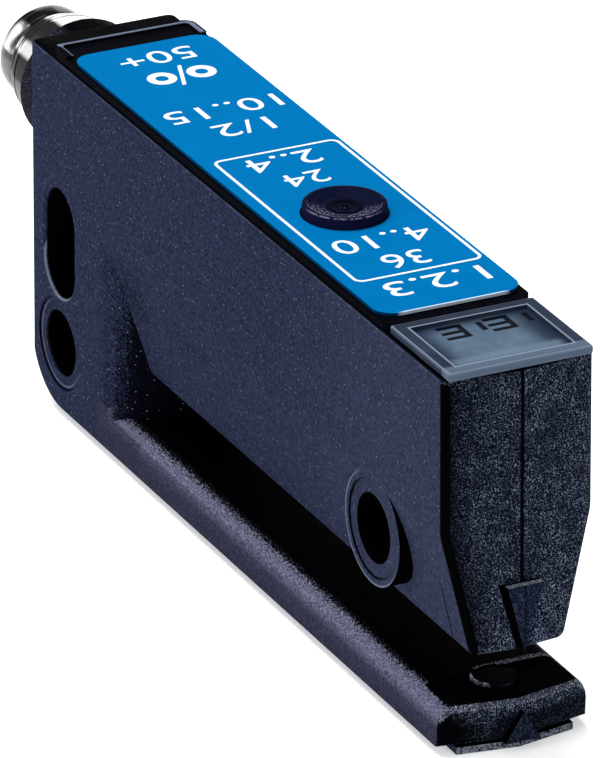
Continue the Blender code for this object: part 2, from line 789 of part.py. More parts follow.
def make_optics_cutters():
    """The emitter's well in the jaw and the stepped seats of both lenses."""
    well_base = JAW_BOTTOM_Z + JAW_FLOOR
    well_top = CAVITY_FLOOR_Z + OVERCUT
    well = rod(
        "well",
        WELL_RADIUS,
        "Z",
        (LENS_X, 0.0, (well_base + well_top) / 2),
        well_top - well_base,
        steps=32,
    )
    bore_radius = LENS_STEM_RADIUS + FIT
    jaw_bore = rod(
        "jaw_lens_bore",
        bore_radius,
        "Z",
        (LENS_X, 0.0, JAW_BOTTOM_Z),
        2 * (JAW_FLOOR + OVERCUT / 2),
        steps=32,
    )
    arm_bore = rod(
        "arm_lens_bore",
        bore_radius,
        "Z",
        (LENS_X, 0.0, ARM_TOP_Z),
        2 * (ARM_ROOF + OVERCUT / 2),
        steps=32,
    )
    return [well, jaw_bore, arm_bore]


def make_connector_cutters():
    """The bore in the collar for the shell's neck, and the way through for the insert."""
    neck_end_x = COLLAR_END_X + SHELL_NECK_LENGTH + FIT
    neck_length = neck_end_x - COLLAR_END_X + OVERCUT
    neck = rod(
        "neck_bore",
        SHELL_NECK_RADIUS + FIT,
        "X",
        (neck_end_x - neck_length / 2, 0.0, CONNECTOR_Z),
        neck_length,
    )
    insert_length = CAVITY_REAR_X - COLLAR_END_X + OVERCUT
    insert = rod(
        "insert_bore",
        SOCKET_RADIUS + FIT,
        "X",
        (COLLAR_END_X + insert_length / 2, 0.0, CONNECTOR_Z),
        insert_length,
    )
    return [neck, insert]


def make_housing():
    """The one-piece moulding: fork body, lens ring, boss, collar and marks, then all cuts."""
    housing = make_fork_body()
    jaw_mark_base = JAW_BOTTOM_Z + JAW_MARK_HEIGHT
    jaw_mark = make_mark("jaw_mark", jaw_mark_base, JAW_BOTTOM_Z + FIT)
    arm_mark_base = BODY_BASE_Z + FIT
    arm_mark = make_mark("arm_mark", arm_mark_base, arm_mark_base + ARM_MARK_HEIGHT)
    join(housing, make_lens_ring(), make_boss(), make_collar(), jaw_mark, arm_mark)
    rear_x = REAR_X + REAR_HOLE_INSET
    rear_z = BODY_BASE_Z + REAR_HOLE_RISE
    front_x = FRONT_X - FRONT_HOLE_INSET
    front_z = TOP_Z - FRONT_HOLE_DROP
    cut(housing, make_rear_corner_cutter())
    cut(housing, *make_cavity_cutters())
    cut(housing, *make_optics_cutters())
    cut(housing, *make_connector_cutters())
    cut(housing, make_through_hole("rear_hole", rear_x, rear_z))
    cut(housing, *make_counterbores("rear_counterbore", rear_x, rear_z, HALF_WIDTH))
    cut(housing, make_through_hole("front_hole", front_x, front_z))
    boss_face = HALF_WIDTH - BOSS_SETBACK
    cut(housing, *make_counterbores("front_counterbore", front_x, front_z, boss_face))
    cut(housing, make_slot_cutter())
    return housing


def make_top_cover():
    """The lid over the main cavity, with a rear rim and a skirt that drops into the walls."""
    rear_x = REAR_X + COVER_REAR_INSET
    front_x = FRONT_X - COVER_FRONT_INSET
    half = COVER_HALF_WIDTH
    radius = COVER_CORNER_RADIUS
    plate = rectangle((rear_x, -half), (front_x, half), radius)
    cover = prism("top_cover", plate, "Z", COVER_BASE_Z, COVER_TOP_Z, "cover_plastic")
    rim_top = COVER_TOP_Z + RIM_HEIGHT
    rim = prism("rim", plate, "Z", COVER_TOP_Z - COVER_THICKNESS / 2, rim_top)
    rim_space = rectangle(
        (rear_x + RIM_WIDTH, -half + RIM_WIDTH),
        (front_x + OVERCUT, half - RIM_WIDTH),
        radius - RIM_WIDTH,
    )
    join(cover, rim)
    cut(cover, prism("rim_space", rim_space, "Z", COVER_TOP_Z, rim_top + OVERCUT))
    beyond_rim = (rear_x + RIM_ARM_LENGTH, -half - OVERCUT, COVER_TOP_Z)
    front_corner = (front_x + OVERCUT, half + OVERCUT, rim_top + OVERCUT)
    cut(cover, box("beyond_rim", beyond_rim, front_corner))
    skirt_half = CAVITY_HALF_WIDTH - FIT
    skirt_base = COVER_BASE_Z - COVER_SKIRT_DEPTH
    skirt_rear = CAVITY_REAR_X + FIT
    skirt_front = front_x - COVER_SKIRT_WALL
    wall = COVER_SKIRT_WALL
    skirt_top = COVER_BASE_Z + COVER_THICKNESS / 2
    skirt = box(
        "skirt", (skirt_rear, -skirt_half, skirt_base), (skirt_front, skirt_half, skirt_top)
    )
    hollow = box(
        "skirt_hollow",
        (skirt_rear + wall, -skirt_half + wall, skirt_base - OVERCUT),
        (skirt_front - wall, skirt_half - wall, COVER_BASE_Z),
    )
    join(cover, skirt)
    cut(cover, hollow)
    hole_radius = BUTTON_RADIUS + SLIDING_FIT + SEAL_WALL + FIT
    hole_length = 2 * (COVER_THICKNESS + OVERCUT)
    cut(cover, rod("cover_hole", hole_radius, "Z", (BUTTON_X, 0.0, COVER_TOP_Z), hole_length))
    return cover


def make_label():
    """The coloured foil on the cover, with a hole for the button."""
    half = LABEL_HALF_WIDTH
    outline = rectangle(
        (REAR_X + LABEL_REAR_INSET, -half), (FRONT_X - LABEL_FRONT_INSET, half), LABEL_CORNER_RADIUS
    )
    label = prism("label_plate", outline, "Z", LABEL_BASE_Z, LABEL_TOP_Z, "label_film")
    hole_radius = BUTTON_RADIUS + SLIDING_FIT
    hole_length = 2 * (LABEL_THICKNESS + OVERCUT)
    cut(label, rod("label_hole", hole_radius, "Z", (BUTTON_X, 0.0, LABEL_TOP_Z), hole_length))
    return label


def make_window():
    """The clear window over the indicators: a rimmed tray whose skirt drops into the walls."""
    rear_x = FRONT_X - WINDOW_LENGTH
    half = HALF_WIDTH - WINDOW_SIDE_INSET
    base_z = TOP_Z + FIT
    top_z = TOP_Z + WINDOW_HEIGHT
    window = box(
        "indicator_window", (rear_x, -half, base_z), (FRONT_X, half, top_z), "window_plastic"
    )
    bevel(window, WINDOW_EDGE, 2, 60)
    rim = WINDOW_RIM
    recess_base = top_z - WINDOW_RECESS
    recess = box(
        "window_recess",
        (rear_x + rim, -half + rim, recess_base),
        (FRONT_X - rim, half - rim, top_z + OVERCUT),
    )
    bevel(recess, WINDOW_RECESS / 2, 2, 60)
    cut(window, recess)
    skirt_half = CAVITY_HALF_WIDTH - FIT
    skirt_rear = rear_x + WINDOW_SKIRT_WALL
    skirt_front = CAVITY_FRONT_X - FIT
    skirt_base = base_z - WINDOW_SKIRT_DEPTH
    wall = WINDOW_SKIRT_WALL
    skirt = box(
        "window_skirt",
        (skirt_rear, -skirt_half, skirt_base),
        (skirt_front, skirt_half, base_z + WINDOW_SKIRT_WALL / 5),
    )
    hollow = box(
        "window_hollow",
        (skirt_rear + wall, -skirt_half + wall, skirt_base - OVERCUT),
        (skirt_front - wall, skirt_half - wall, base_z),
    )
    join(window, skirt)
    cut(window, hollow)
    return window


def make_button():
    """The dished push button with its retaining flange and its stem to the switch."""
    top = BUTTON_TOP_Z - COVER_BASE_Z
    inner = BUTTON_RADIUS - BUTTON_RIM
    step = BUTTON_RADIUS - BUTTON_STEP_INSET
    dish = top - BUTTON_DISH
    flange_radius = BUTTON_RADIUS + FLANGE_EXTRA
    flange_top = -FIT
    flange_base = flange_top - FLANGE_HEIGHT
    stem_base = PLUNGER_TOP_Z + FIT - COVER_BASE_Z
    profile = [
        (0.0, dish + BUTTON_EDGE),
        (BUTTON_DOT_RADIUS, dish + BUTTON_EDGE),
        (BUTTON_DOT_RADIUS, dish),
        (step - BUTTON_EDGE, dish + BUTTON_EDGE / 2),
        (step, dish + BUTTON_DISH / 2),
        (inner, top - BUTTON_EDGE),
        (inner + BUTTON_EDGE / 2, top),
        (BUTTON_RADIUS - BUTTON_EDGE, top),
        (BUTTON_RADIUS, top - BUTTON_EDGE),
        (BUTTON_RADIUS, flange_top),
        (flange_radius, flange_top),
        (flange_radius, flange_base),
        (STEM_RADIUS, flange_base),
        (STEM_RADIUS, stem_base),
        (0.0, stem_base),
    ]
    return turned(
        "teach_button", profile, "Z", (BUTTON_X, 0.0, COVER_BASE_Z), "button_plastic"
    )


def make_button_seal():
    """The rubber sleeve in the cover that the button slides in."""
    inner = BUTTON_RADIUS + SLIDING_FIT
    outer = inner + SEAL_WALL
    height = COVER_THICKNESS
    profile = [(inner, height), (outer, height), (outer, 0.0), (inner, 0.0)]
    position = (BUTTON_X, 0.0, COVER_BASE_Z)
    return turned("button_seal", profile, "Z", position, "seal_rubber", ring=True)


def make_switch():
    """The switch under the button: a case with a round well and the plunger in it."""
    half_length = SWITCH_LENGTH / 2
    half_width = SWITCH_WIDTH / 2
    base = BOARD_TOP_Z + FIT
    case = box(
        "switch_case",
        (BUTTON_X - half_length, -half_width, base),
        (BUTTON_X + half_length, half_width, SWITCH_TOP_Z),
        "switch_metal",
    )
    well_base = base + SWITCH_FLOOR
    well_depth = SWITCH_TOP_Z - well_base
    well_radius = PLUNGER_RADIUS + SLIDING_FIT
    well_middle = (BUTTON_X, 0.0, well_base + well_depth)
    cut(case, rod("switch_well", well_radius, "Z", well_middle, 2 * well_depth, steps=SMALL_STEPS))
    plunger_base = well_base + TRAVEL + FIT
    middle = (PLUNGER_TOP_Z + plunger_base) / 2
    plunger = rod(
        "switch_plunger",
        PLUNGER_RADIUS,
        "Z",
        (BUTTON_X, 0.0, middle),
        PLUNGER_TOP_Z - plunger_base,
        "switch_plastic",
        SMALL_STEPS,
    )
    return case, plunger


def make_main_board():
    return box(
        "main_board",
        (CAVITY_REAR_X + 2 * FIT, -BOARD_HALF_WIDTH, BOARD_BASE_Z),
        (CAVITY_FRONT_X - 2 * FIT, BOARD_HALF_WIDTH, BOARD_TOP_Z),
        "board_laminate",
    )


def make_chip(name, x, length):
    """A flat package on the main board."""
    base = BOARD_TOP_Z + FIT
    half = length / 2
    return box(
        name, (x - half, -half, base), (x + half, half, base + CHIP_HEIGHT), "chip_plastic"
    )


def make_indicators():
    """The two indicator lamps on the main board, under the window."""
    x = FRONT_X - INDICATOR_INSET
    base = BOARD_TOP_Z + FIT
    for name, side in (("indicator_near", -1.0), ("indicator_far", 1.0)):
        y = side * (BOARD_HALF_WIDTH - INDICATOR_EDGE_INSET - INDICATOR_LENGTH / 2)
        box(
            name,
            (x - INDICATOR_WIDTH / 2, y - INDICATOR_LENGTH / 2, base),
            (x + INDICATOR_WIDTH / 2, y + INDICATOR_LENGTH / 2, base + INDICATOR_HEIGHT),
            "indicator_plastic",
        )


def lens_profile(stem_length):
    """A flange with a stem, measured from the flange's outer face along the light."""
    flange = LENS_FLANGE_HEIGHT
    return [
        (0.0, flange + stem_length),
        (LENS_STEM_RADIUS, flange + stem_length),
        (LENS_STEM_RADIUS, flange),
        (LENS_FLANGE_RADIUS, flange),
        (LENS_FLANGE_RADIUS, 0.0),
        (0.0, 0.0),
    ]


def make_lenses():
    """The two lens windows: one points down out of the jaw, one up out of the arm."""
    upper_seat = JAW_BOTTOM_Z + JAW_FLOOR + FIT
    upper = turned(
        "upper_lens",
        lens_profile(JAW_FLOOR),
        "Z",
        (LENS_X, 0.0, upper_seat + LENS_FLANGE_HEIGHT),
        "lens_plastic",
        32,
    )
    upper.rotation_euler = (math.pi, 0.0, 0.0)
    lower_base = CHANNEL_TOP_Z - FIT - LENS_FLANGE_HEIGHT
    turned(
        "lower_lens",
        lens_profile(ARM_ROOF - FIT),
        "Z",
        (LENS_X, 0.0, lower_base),
        "lens_plastic",
        32,
    )


def make_emitter():
    """The light source in the jaw's well, on two leads from the main board."""
    seat = JAW_BOTTOM_Z + JAW_FLOOR + LENS_FLANGE_HEIGHT + 2 * FIT
    dome = arc((0.0, EMITTER_RADIUS), EMITTER_RADIUS, 0, -90, 6)
    profile = [(0.0, EMITTER_HEIGHT), (EMITTER_RADIUS, EMITTER_HEIGHT)] + dome
    emitter = turned("emitter", profile, "Z", (LENS_X, 0.0, seat), "emitter_plastic", SMALL_STEPS)
    lead_base = seat + EMITTER_HEIGHT / 2
    lead_top = BOARD_BASE_Z - FIT
    for name, side in (("lead_near", -1.0), ("lead_far", 1.0)):
        centre = (LENS_X, side * LEAD_SPACING / 2, (lead_base + lead_top) / 2)
        join(emitter, rod(name, LEAD_RADIUS, "Z", centre, lead_top - lead_base, steps=8))


def make_arm_electronics():
    """The long board in the arm with the receiver under its lens."""
    top = CHANNEL_TOP_Z - LENS_FLANGE_HEIGHT - RECEIVER_HEIGHT - 3 * FIT
    half = ARM_BOARD_WIDTH / 2
    box(
        "arm_board",
        (CHANNEL_REAR_X + 2 * FIT, -half, top - ARM_BOARD_THICKNESS),
        (CAVITY_FRONT_X - 2 * FIT, half, top),
        "board_laminate",
    )
    base = top + FIT
    reach = RECEIVER_LENGTH / 2
    box(
        "receiver",
        (LENS_X - reach, -reach, base),
        (LENS_X + reach, reach, base + RECEIVER_HEIGHT),
        "chip_plastic",
    )
    return top


def make_ribbon(arm_board_top):
    """The flat link from the main board down the shaft to the arm board."""
    rear = SHAFT_X
    foot = RIBBON_FOOT
    thick = RIBBON_THICKNESS
    top = BOARD_BASE_Z - FIT
    base = arm_board_top + FIT
    outline = [
        (rear - thick, base),
        (rear + foot, base),
        (rear + foot, base + thick),
        (rear, base + thick),
        (rear, top - thick),
        (rear + foot, top - thick),
        (rear + foot, top),
        (rear - thick, top),
    ]
    half = RIBBON_WIDTH / 2
    return prism("flex_link", outline, "Y", -half, half, "flex_film")


def make_arm_cover(arm_board_top):
    """The strip that closes the channel from below, with a plug that seats in it."""
    rear_x = CHANNEL_REAR_X - SIDE_WALL
    half = STRIP_WIDTH / 2
    front = FRONT_X + OVERCUT
    outline = rounded_outline(
        [
            (rear_x, -half, half / 2),
            (front, -half, 0.0),
            (front, half, 0.0),
            (rear_x, half, half / 2),
        ]
    )
    strip = prism("arm_cover", outline, "Z", 0.0, BODY_BASE_Z - STRIP_GAP, "housing_plastic")
    cut_ridge(strip, Vector((FRONT_X + RIDGE_REACH, 0.0, 0.0)), ARM_FALL_BACK, 0.0)
    plug_half = CHANNEL_WIDTH / 2 - FIT
    plug_top = min(BODY_BASE_Z + STRIP_PLUG, arm_board_top - ARM_BOARD_THICKNESS - FIT)
    plug = box(
        "strip_plug",
        (CHANNEL_REAR_X + FIT, -plug_half, STRIP_DROP / 2),
        (CAVITY_FRONT_X - FIT, plug_half, plug_top),
    )
    return join(strip, plug)


def make_shell():
    """The turned metal connector shell, with a lip at its mouth and a neck in the collar."""
    lip_end = SHELL_LIP_LENGTH
    groove_end = lip_end + SHELL_GROOVE_LENGTH
    band_end = groove_end + SHELL_BAND_LENGTH
    neck_start = CONNECTOR_REACH - COLLAR_LENGTH - FIT
    neck_end = neck_start + SHELL_NECK_LENGTH
    seal_middle = neck_start + SHELL_NECK_LENGTH / 2
    seal_half = ORING_RADIUS + FIT
    seal_floor = SHELL_NECK_RADIUS - 2 * ORING_RADIUS + FIT
    edge = SHELL_EDGE
    outer = [
        (SOCKET_RADIUS + FIT + edge, 0.0),
        (SHELL_LIP_RADIUS - 2 * edge, 0.0),
        (SHELL_LIP_RADIUS, 2 * edge),
        (SHELL_LIP_RADIUS, lip_end),
        (SHELL_GROOVE_RADIUS, lip_end),
        (SHELL_GROOVE_RADIUS, groove_end),
        (SHELL_BAND_RADIUS, groove_end),
        (SHELL_BAND_RADIUS, band_end),
        (SHELL_RADIUS - edge, band_end),
        (SHELL_RADIUS, band_end + edge),
        (SHELL_ROOT_RADIUS, neck_start),
        (SHELL_NECK_RADIUS, neck_start),
        (SHELL_NECK_RADIUS, seal_middle - seal_half),
        (seal_floor, seal_middle - seal_half),
        (seal_floor, seal_middle + seal_half),
        (SHELL_NECK_RADIUS, seal_middle + seal_half),
        (SHELL_NECK_RADIUS, neck_end),
    ]
    inner = [(SOCKET_RADIUS + FIT, neck_end), (SOCKET_RADIUS + FIT, edge)]
    profile = [(radius, -height) for radius, height in outer + inner]
    shell = turned(
        "connector_shell",
        profile,
        "X",
        (CONNECTOR_END_X, 0.0, CONNECTOR_Z),
        "connector_nickel",
        ring=True,
    )
    shell.rotation_euler = (0.0, -math.pi / 2, 0.0)
    return seal_middle, seal_floor


def make_connector_seal(seal_middle, seal_floor):
    """The sealing ring between the shell's neck and the collar."""
    ring_radius = seal_floor + ORING_RADIUS - FIT / 2
    major = ring_radius + FIT
    section = arc((major, 0.0), ORING_RADIUS - FIT, 90, -270, 12)[:-1]
    x = CONNECTOR_END_X + seal_middle
    return turned(
        "connector_seal", section, "X", (x, 0.0, CONNECTOR_Z), "seal_rubber", 32, ring=True
    )


def pin_places():
    """The four contacts, at the corners of a square about the connector's axis."""
    half = PIN_SPACING / 2
    corners = [(-half, half), (half, half), (half, -half), (-half, -half)]
    return [(y, CONNECTOR_Z + z) for y, z in corners]


def make_insert_and_pins():
    """The plastic insert in the shell and the contacts that pass through it."""
    face_x = CONNECTOR_END_X + SOCKET_DEPTH
    tail_x = CAVITY_REAR_X - INSERT_TAIL
    insert = rod(
        "connector_insert",
        SOCKET_RADIUS,
        "X",
        ((face_x + tail_x) / 2, 0.0, CONNECTOR_Z),
        tail_x - face_x,
        "insert_plastic",
    )
    start = CONNECTOR_END_X + PIN_RECESS
    end = CAVITY_REAR_X + PIN_TAIL
    middle = (start + end) / 2
    for number, (y, z) in enumerate(pin_places(), start=1):
        centre = (middle, y, z)
        bore_radius = PIN_RADIUS + FIT
        bore_length = end - start + OVERCUT
        name = f"pin_bore_{number}"
        cut(insert, rod(name, bore_radius, "X", centre, bore_length, steps=SMALL_STEPS))
        pin = rod(
            f"contact_pin_{number}",
            PIN_RADIUS,
            "X",
            centre,
            end - start,
            "contact_gold",
            16,
        )
        bevel(pin, PIN_RADIUS / 2, 2, 60)


def parent_parts():
    """Hangs every part from one empty at the origin, and the plunger from the button."""
    root = bpy.data.objects.new("fork_sensor_root", None)
    PARTS.objects.link(root)
    bpy.context.view_layer.update()
    button = PARTS.objects["teach_button"]
    for obj in list(PARTS.objects):
        if obj is root:
            continue
        holder = button if obj.name == "switch_plunger" else root
        world = obj.matrix_world.copy()
        obj.parent = holder
        obj.matrix_parent_inverse = holder.matrix_world.inverted()
        obj.matrix_world = world


make_housing()
make_top_cover()
make_label()
make_window()
make_button()
make_button_seal()
make_switch()
make_main_board()
make_chip("controller_chip", FRONT_X - CONTROLLER_INSET, CHIP_LENGTH)
make_chip("driver_chip", REAR_X + DRIVER_SETBACK, DRIVER_LENGTH)
make_indicators()
make_lenses()
make_emitter()
ARM_BOARD_TOP_Z = make_arm_electronics()
make_ribbon(ARM_BOARD_TOP_Z)
make_arm_cover(ARM_BOARD_TOP_Z)
SEAL_MIDDLE, SEAL_FLOOR = make_shell()
make_connector_seal(SEAL_MIDDLE, SEAL_FLOOR)
make_insert_and_pins()
parent_parts()
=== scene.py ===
"""The looks of the fork light barrier: finishes, turned metal, print, light and camera.

Sizes are in millimetres times MM unless a note says otherwise, and places are worked out from the
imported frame.
X runs along the part with the fork open towards +X, Y runs across and Z is up.
"""

import functools
import math

import bmesh
import bpy
from mathutils import Matrix, Vector


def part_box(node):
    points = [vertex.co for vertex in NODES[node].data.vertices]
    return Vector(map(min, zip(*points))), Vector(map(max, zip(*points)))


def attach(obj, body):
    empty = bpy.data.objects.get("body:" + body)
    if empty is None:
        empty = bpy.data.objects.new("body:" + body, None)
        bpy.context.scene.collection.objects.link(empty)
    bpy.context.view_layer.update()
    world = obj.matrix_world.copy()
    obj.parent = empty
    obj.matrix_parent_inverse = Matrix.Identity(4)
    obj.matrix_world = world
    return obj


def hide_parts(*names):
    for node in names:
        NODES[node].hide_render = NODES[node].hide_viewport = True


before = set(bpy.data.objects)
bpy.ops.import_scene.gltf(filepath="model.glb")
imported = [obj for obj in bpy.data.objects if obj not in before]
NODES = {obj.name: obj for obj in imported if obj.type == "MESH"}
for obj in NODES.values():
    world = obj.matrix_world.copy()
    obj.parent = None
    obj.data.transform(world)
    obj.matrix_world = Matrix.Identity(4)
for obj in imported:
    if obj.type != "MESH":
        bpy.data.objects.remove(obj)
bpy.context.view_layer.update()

MM = 0.001

# Camera: the photograph's angle, seen from the front and the near side. The lens and the sensor are
# in plain mm, as the camera takes them.
CAMERA_AZIMUTH = math.radians(63.58)
CAMERA_ELEVATION = math.radians(24.878)
CAMERA_ROLL = math.radians(0.312)
CAMERA_DISTANCE = 536.6 * MM
CAMERA_LENS = 437.5
CAMERA_SENSOR = 36.0
AIM_LEFT = 12.92 * MM
AIM_DOWN = 0.55 * MM
CAMERA_CLIP = 10.0 * MM

# Print on the label in mm: text, distance of its base line behind the label's front, height, left
# and right edge across. The print is read from the far side to the near side.
PRINT_ROWS = [
    ("50+", 41.95, 1.9, 2.7, -2.4),
    ("10..15", 32.75, 1.9, 4.1, -3.6),
    ("1/2", 29.7, 1.9, 2.1, -1.7),
    ("2..4", 24.0, 2.0, 2.5, -2.3),
    ("24", 20.95, 1.8, 1.6, -1.2),
    ("4..10", 10.85, 2.0, 3.4, -3.0),
    ("36", 7.75, 2.0, 1.6, -1.2),
    ("1.2.3", 4.1, 2.05, 3.7, -2.9),
]
PRINT_RISE = 0.012 * MM
FRAME_REAR = 24.75 * MM
FRAME_FRONT = 4.85 * MM
FRAME_LEFT = 4.55 * MM
FRAME_RIGHT = -3.98 * MM
FRAME_LINE = 0.2 * MM
FRAME_CORNER = 0.6 * MM
SIGN_BEHIND = 37.8 * MM
SIGN_RADIUS = 0.95 * MM
SIGN_HOLE = 0.42 * MM
SIGN_LEFT = 1.68 * MM
SIGN_RIGHT = -1.05 * MM
SLASH_HALF_LENGTH = 1.45 * MM
SLASH_HALF_WIDTH = 0.13 * MM
SLASH_LEAN = 0.35

# Places on the housing that its finish follows
MARK_REACH = 1.0 * MM
ARM_HEIGHT = 2.83 * MM
HOLE_RADIUS = 2.2 * MM
RING_RADIUS = 3.1 * MM
BOSS_RADIUS = 3.6 * MM
ARM_TIP_LENGTH = 3.65 * MM
REAR_HOLE_INSET = 4.25 * MM
REAR_HOLE_RISE = 4.48 * MM
SLOT_LOWER_DROP = 13.95 * MM
SLOT_TRAVEL = 3.0 * MM
FORK_GAP = 3.0 * MM
JAW_MARK_HEIGHT = 4.5 * MM
MARK_HALF_WIDTH = 1.2 * MM
LENS_INSET = 2.85 * MM
LENS_ARC_RADIUS = 1.42 * MM
COLLAR_RADIUS = 4.5 * MM
COLLAR_SHRINK = 0.955
FRONT_HOLE_INSET = 9.32 * MM
FRONT_HOLE_DROP = 13.3 * MM
ROOT_LENGTH = 15.1 * MM
BODY_LENGTH = 57.6 * MM
RIM_WIDTH = 0.45 * MM
WINDOW_RIM = 0.9 * MM
LAMP_INSET = 5.65 * MM
LAMP_REACH = 1.45 * MM
LAMP_BAR = 0.19 * MM
LAMP_PLACES = (-0.90 * MM, 2.15 * MM)
FACET_INSET = 2.1 * MM
FACET_DROP = 13.3 * MM
TIP_STEP = 0.9 * MM
ROOT_SHADE_RISE = 7.5 * MM
LIGHTER_INSETS = (24.0 * MM, 5.0 * MM)

HOUSING_LOW, HOUSING_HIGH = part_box("housing")
HALF_WIDTH = HOUSING_HIGH.y
BASE_Z = HOUSING_LOW.z
TOP_Z = HOUSING_HIGH.z
FRONT_X = HOUSING_HIGH.x - MARK_REACH
REAR_X = FRONT_X - BODY_LENGTH
ROOT_X = REAR_X + ROOT_LENGTH
ROOT_AXIS_X = ROOT_X - HALF_WIDTH
ARM_TOP_Z = BASE_Z + ARM_HEIGHT
JAW_BOTTOM_Z = ARM_TOP_Z + FORK_GAP
REAR_HOLE_Z = BASE_Z + REAR_HOLE_RISE
SLOT_LOW_Z = TOP_Z - SLOT_LOWER_DROP
FRONT_HOLE_Z = TOP_Z - FRONT_HOLE_DROP
ROOT_SHADE_Z = JAW_BOTTOM_Z + ROOT_SHADE_RISE
TIP_X = FRONT_X - ARM_TIP_LENGTH
TIP_TOP_Z = ARM_TOP_Z - TIP_STEP
REAR_HOLE_X = REAR_X + REAR_HOLE_INSET
FRONT_HOLE_X = FRONT_X - FRONT_HOLE_INSET
FACET_TOP_Z = TOP_Z - FACET_DROP
LIGHTER_FROM_X, LIGHTER_TO_X = (FRONT_X - inset for inset in LIGHTER_INSETS)

# Turned shapes in mm: radius and distance from the mouth, radius and drop below the button's top
SHELL_PROFILE = [
    (2.85, 0.10), (3.00, 0.10), (3.12, 0.17), (3.19, 0.32), (3.22, 0.60), (3.22, 1.55),
    (3.18, 1.72), (3.06, 1.80), (3.02, 1.86), (3.02, 1.98), (3.08, 2.04), (3.28, 2.10),
    (3.33, 2.22), (3.33, 2.44), (3.27, 2.50), (3.27, 2.58), (3.33, 2.64), (3.35, 2.80),
    (3.42, 2.90), (3.60, 3.00), (3.68, 3.14), (3.70, 3.50), (3.65, 3.56), (3.65, 3.64),
    (3.71, 3.70), (3.76, 4.60), (3.80, 5.70), (3.30, 5.75), (3.30, 6.60), (2.75, 6.60),
    (2.75, 7.30), (3.30, 7.30),
]
# Painted reflections on the metal round its axis: degrees from the far side over the top, and
# brightness
SHELL_LIP_REFLECTIONS = [
    (0, 0.10), (70, 0.10), (84, 0.0), (124, 0.55), (130, 1.0), (162, 0.06), (172, 0.13),
    (190, 0.09), (250, 0.06),
]
SHELL_BODY_REFLECTIONS = [
    (0, 0.60), (60, 0.95), (106, 0.02), (138, 0.70), (152, 0.0), (166, 0.0), (178, 0.05),
    (250, 0.05),
]
TONE_SOFTNESS = 3.0
SHELL_NECK = 3.3 * MM
SHELL_BORE = 2.65 * MM
SHELL_MOUTH = 0.25 * MM
SHELL_STEPS = 144
BUTTON_PROFILE = [
    (0.0, 0.20), (0.22, 0.20), (0.30, 0.24), (0.34, 0.30), (0.80, 0.30), (0.86, 0.28),
    (0.96, 0.28), (1.02, 0.30), (1.40, 0.30), (1.58, 0.27), (1.72, 0.18), (1.80, 0.16),
    (2.02, 0.14), (2.14, 0.09), (2.22, 0.02), (2.30, 0.0), (2.44, 0.0), (2.52, 0.02),
    (2.58, 0.08), (2.60, 0.18),
]
BUTTON_FLANGE_DROP = 1.50 * MM
BUTTON_FLANGE_HEIGHT = 0.4 * MM
BUTTON_STEM = 1.0 * MM
BUTTON_STEPS = 128
BUTTON_RIM_RADIUS = 2.53 * MM
# Rings on the button, partly wear and partly painted highlight, in mm: radius, half width and
# strength
BUTTON_RINGS = [
    (0.30, 0.06, 0.25), (1.25, 0.05, 0.3), (1.60, 0.06, 0.5), (1.95, 0.05, 0.3), (2.25, 0.06, 0.5),
]
LABEL_CORNER = 1.3 * MM
LABEL_CORNER_STEPS = 10
LABEL_HOLE = 2.72 * MM
LABEL_HOLE_STEPS = 96

# Colours that several finishes share; the three blacks are painted shade
SHADE_BLACK = (0.0006, 0.0006, 0.0010)
DEEP_SHADE_BLACK = (0.0006, 0.0006, 0.0012)
SHADE_NEARLY_BLACK = (0.0015, 0.0015, 0.0040)
FINE_LINE = (0.002, 0.002, 0.004)

# Finishes of the parts inside, by the record's slots: dark and light tone, roughness, size of the
# lumps and depth of the grain in mm, metallic
INNER_FINISHES = {
    "seal_rubber": ((0.002, 0.002, 0.003), (0.005, 0.005, 0.006), 0.9, 0.4, 0.01, 0.0),
    "board_laminate": ((0.008, 0.07, 0.03), (0.02, 0.13, 0.06), 0.42, 0.8, 0.008, 0.0),
    "flex_film": ((0.38, 0.15, 0.03), (0.55, 0.25, 0.06), 0.35, 0.9, 0.004, 0.0),
    "chip_plastic": ((0.012, 0.012, 0.013), (0.024, 0.024, 0.026), 0.55, 0.3, 0.01, 0.0),
    "indicator_plastic": ((0.62, 0.64, 0.58), (0.8, 0.81, 0.76), 0.3, 0.4, 0.004, 0.0),
    "switch_metal": ((0.5, 0.5, 0.48), (0.68, 0.68, 0.66), 0.3, 0.5, 0.003, 1.0),
    "switch_plastic": ((0.02, 0.02, 0.02), (0.04, 0.04, 0.04), 0.45, 0.3, 0.006, 0.0),
    "emitter_plastic": ((0.03, 0.025, 0.07), (0.06, 0.05, 0.12), 0.12, 0.6, 0.003, 0.0),
    "insert_plastic": ((0.01, 0.01, 0.011), (0.02, 0.02, 0.022), 0.5, 0.3, 0.008, 0.0),
    "contact_gold": ((0.75, 0.5, 0.18), (0.9, 0.66, 0.28), 0.2, 0.4, 0.003, 1.0),
}

# Studio in metres: name, place, size and power; the cards' places are measured from the metal
FLOOR_HALF = 3.0
FLOOR_DROP = 0.05 * MM
FLOOR_GLOW = 0.45
SKY_STRENGTH = 0.55
SKY_DARK_SHARE = 0.03
SKY_DARK_HEIGHT = 0.5
SKY_BRIGHT_HEIGHT = 0.95
LIGHTS = [
    ("overhead", (-0.25, -0.05, 0.75), (0.5, 0.6), 7.0),
    ("near_fill", (0.1, -0.7, 0.35), (0.4, 0.4), 1.9),
    ("front_fill", (0.7, 0.15, 0.35), (0.3, 0.3), 1.2),
]
CARDS = [
    ("near_card", (-0.406, -0.210, 0.125), (0.20, 0.30), 0.26),
    ("far_card", (-0.406, 0.200, 0.125), (0.24, 0.28), 0.26),
]
LIGHT_TARGET = (0.0, 0.0, 0.012)

SMOOTH_ANGLE = math.radians(35)
FLAT_ANGLE = math.radians(0.2)
WELD = 0.001 * MM


# Small helpers


def link(obj, body="sensor"):
    """Adds a new piece to the scene and lets it ride on a body."""
    bpy.context.scene.collection.objects.link(obj)
    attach(obj, body)
    return obj


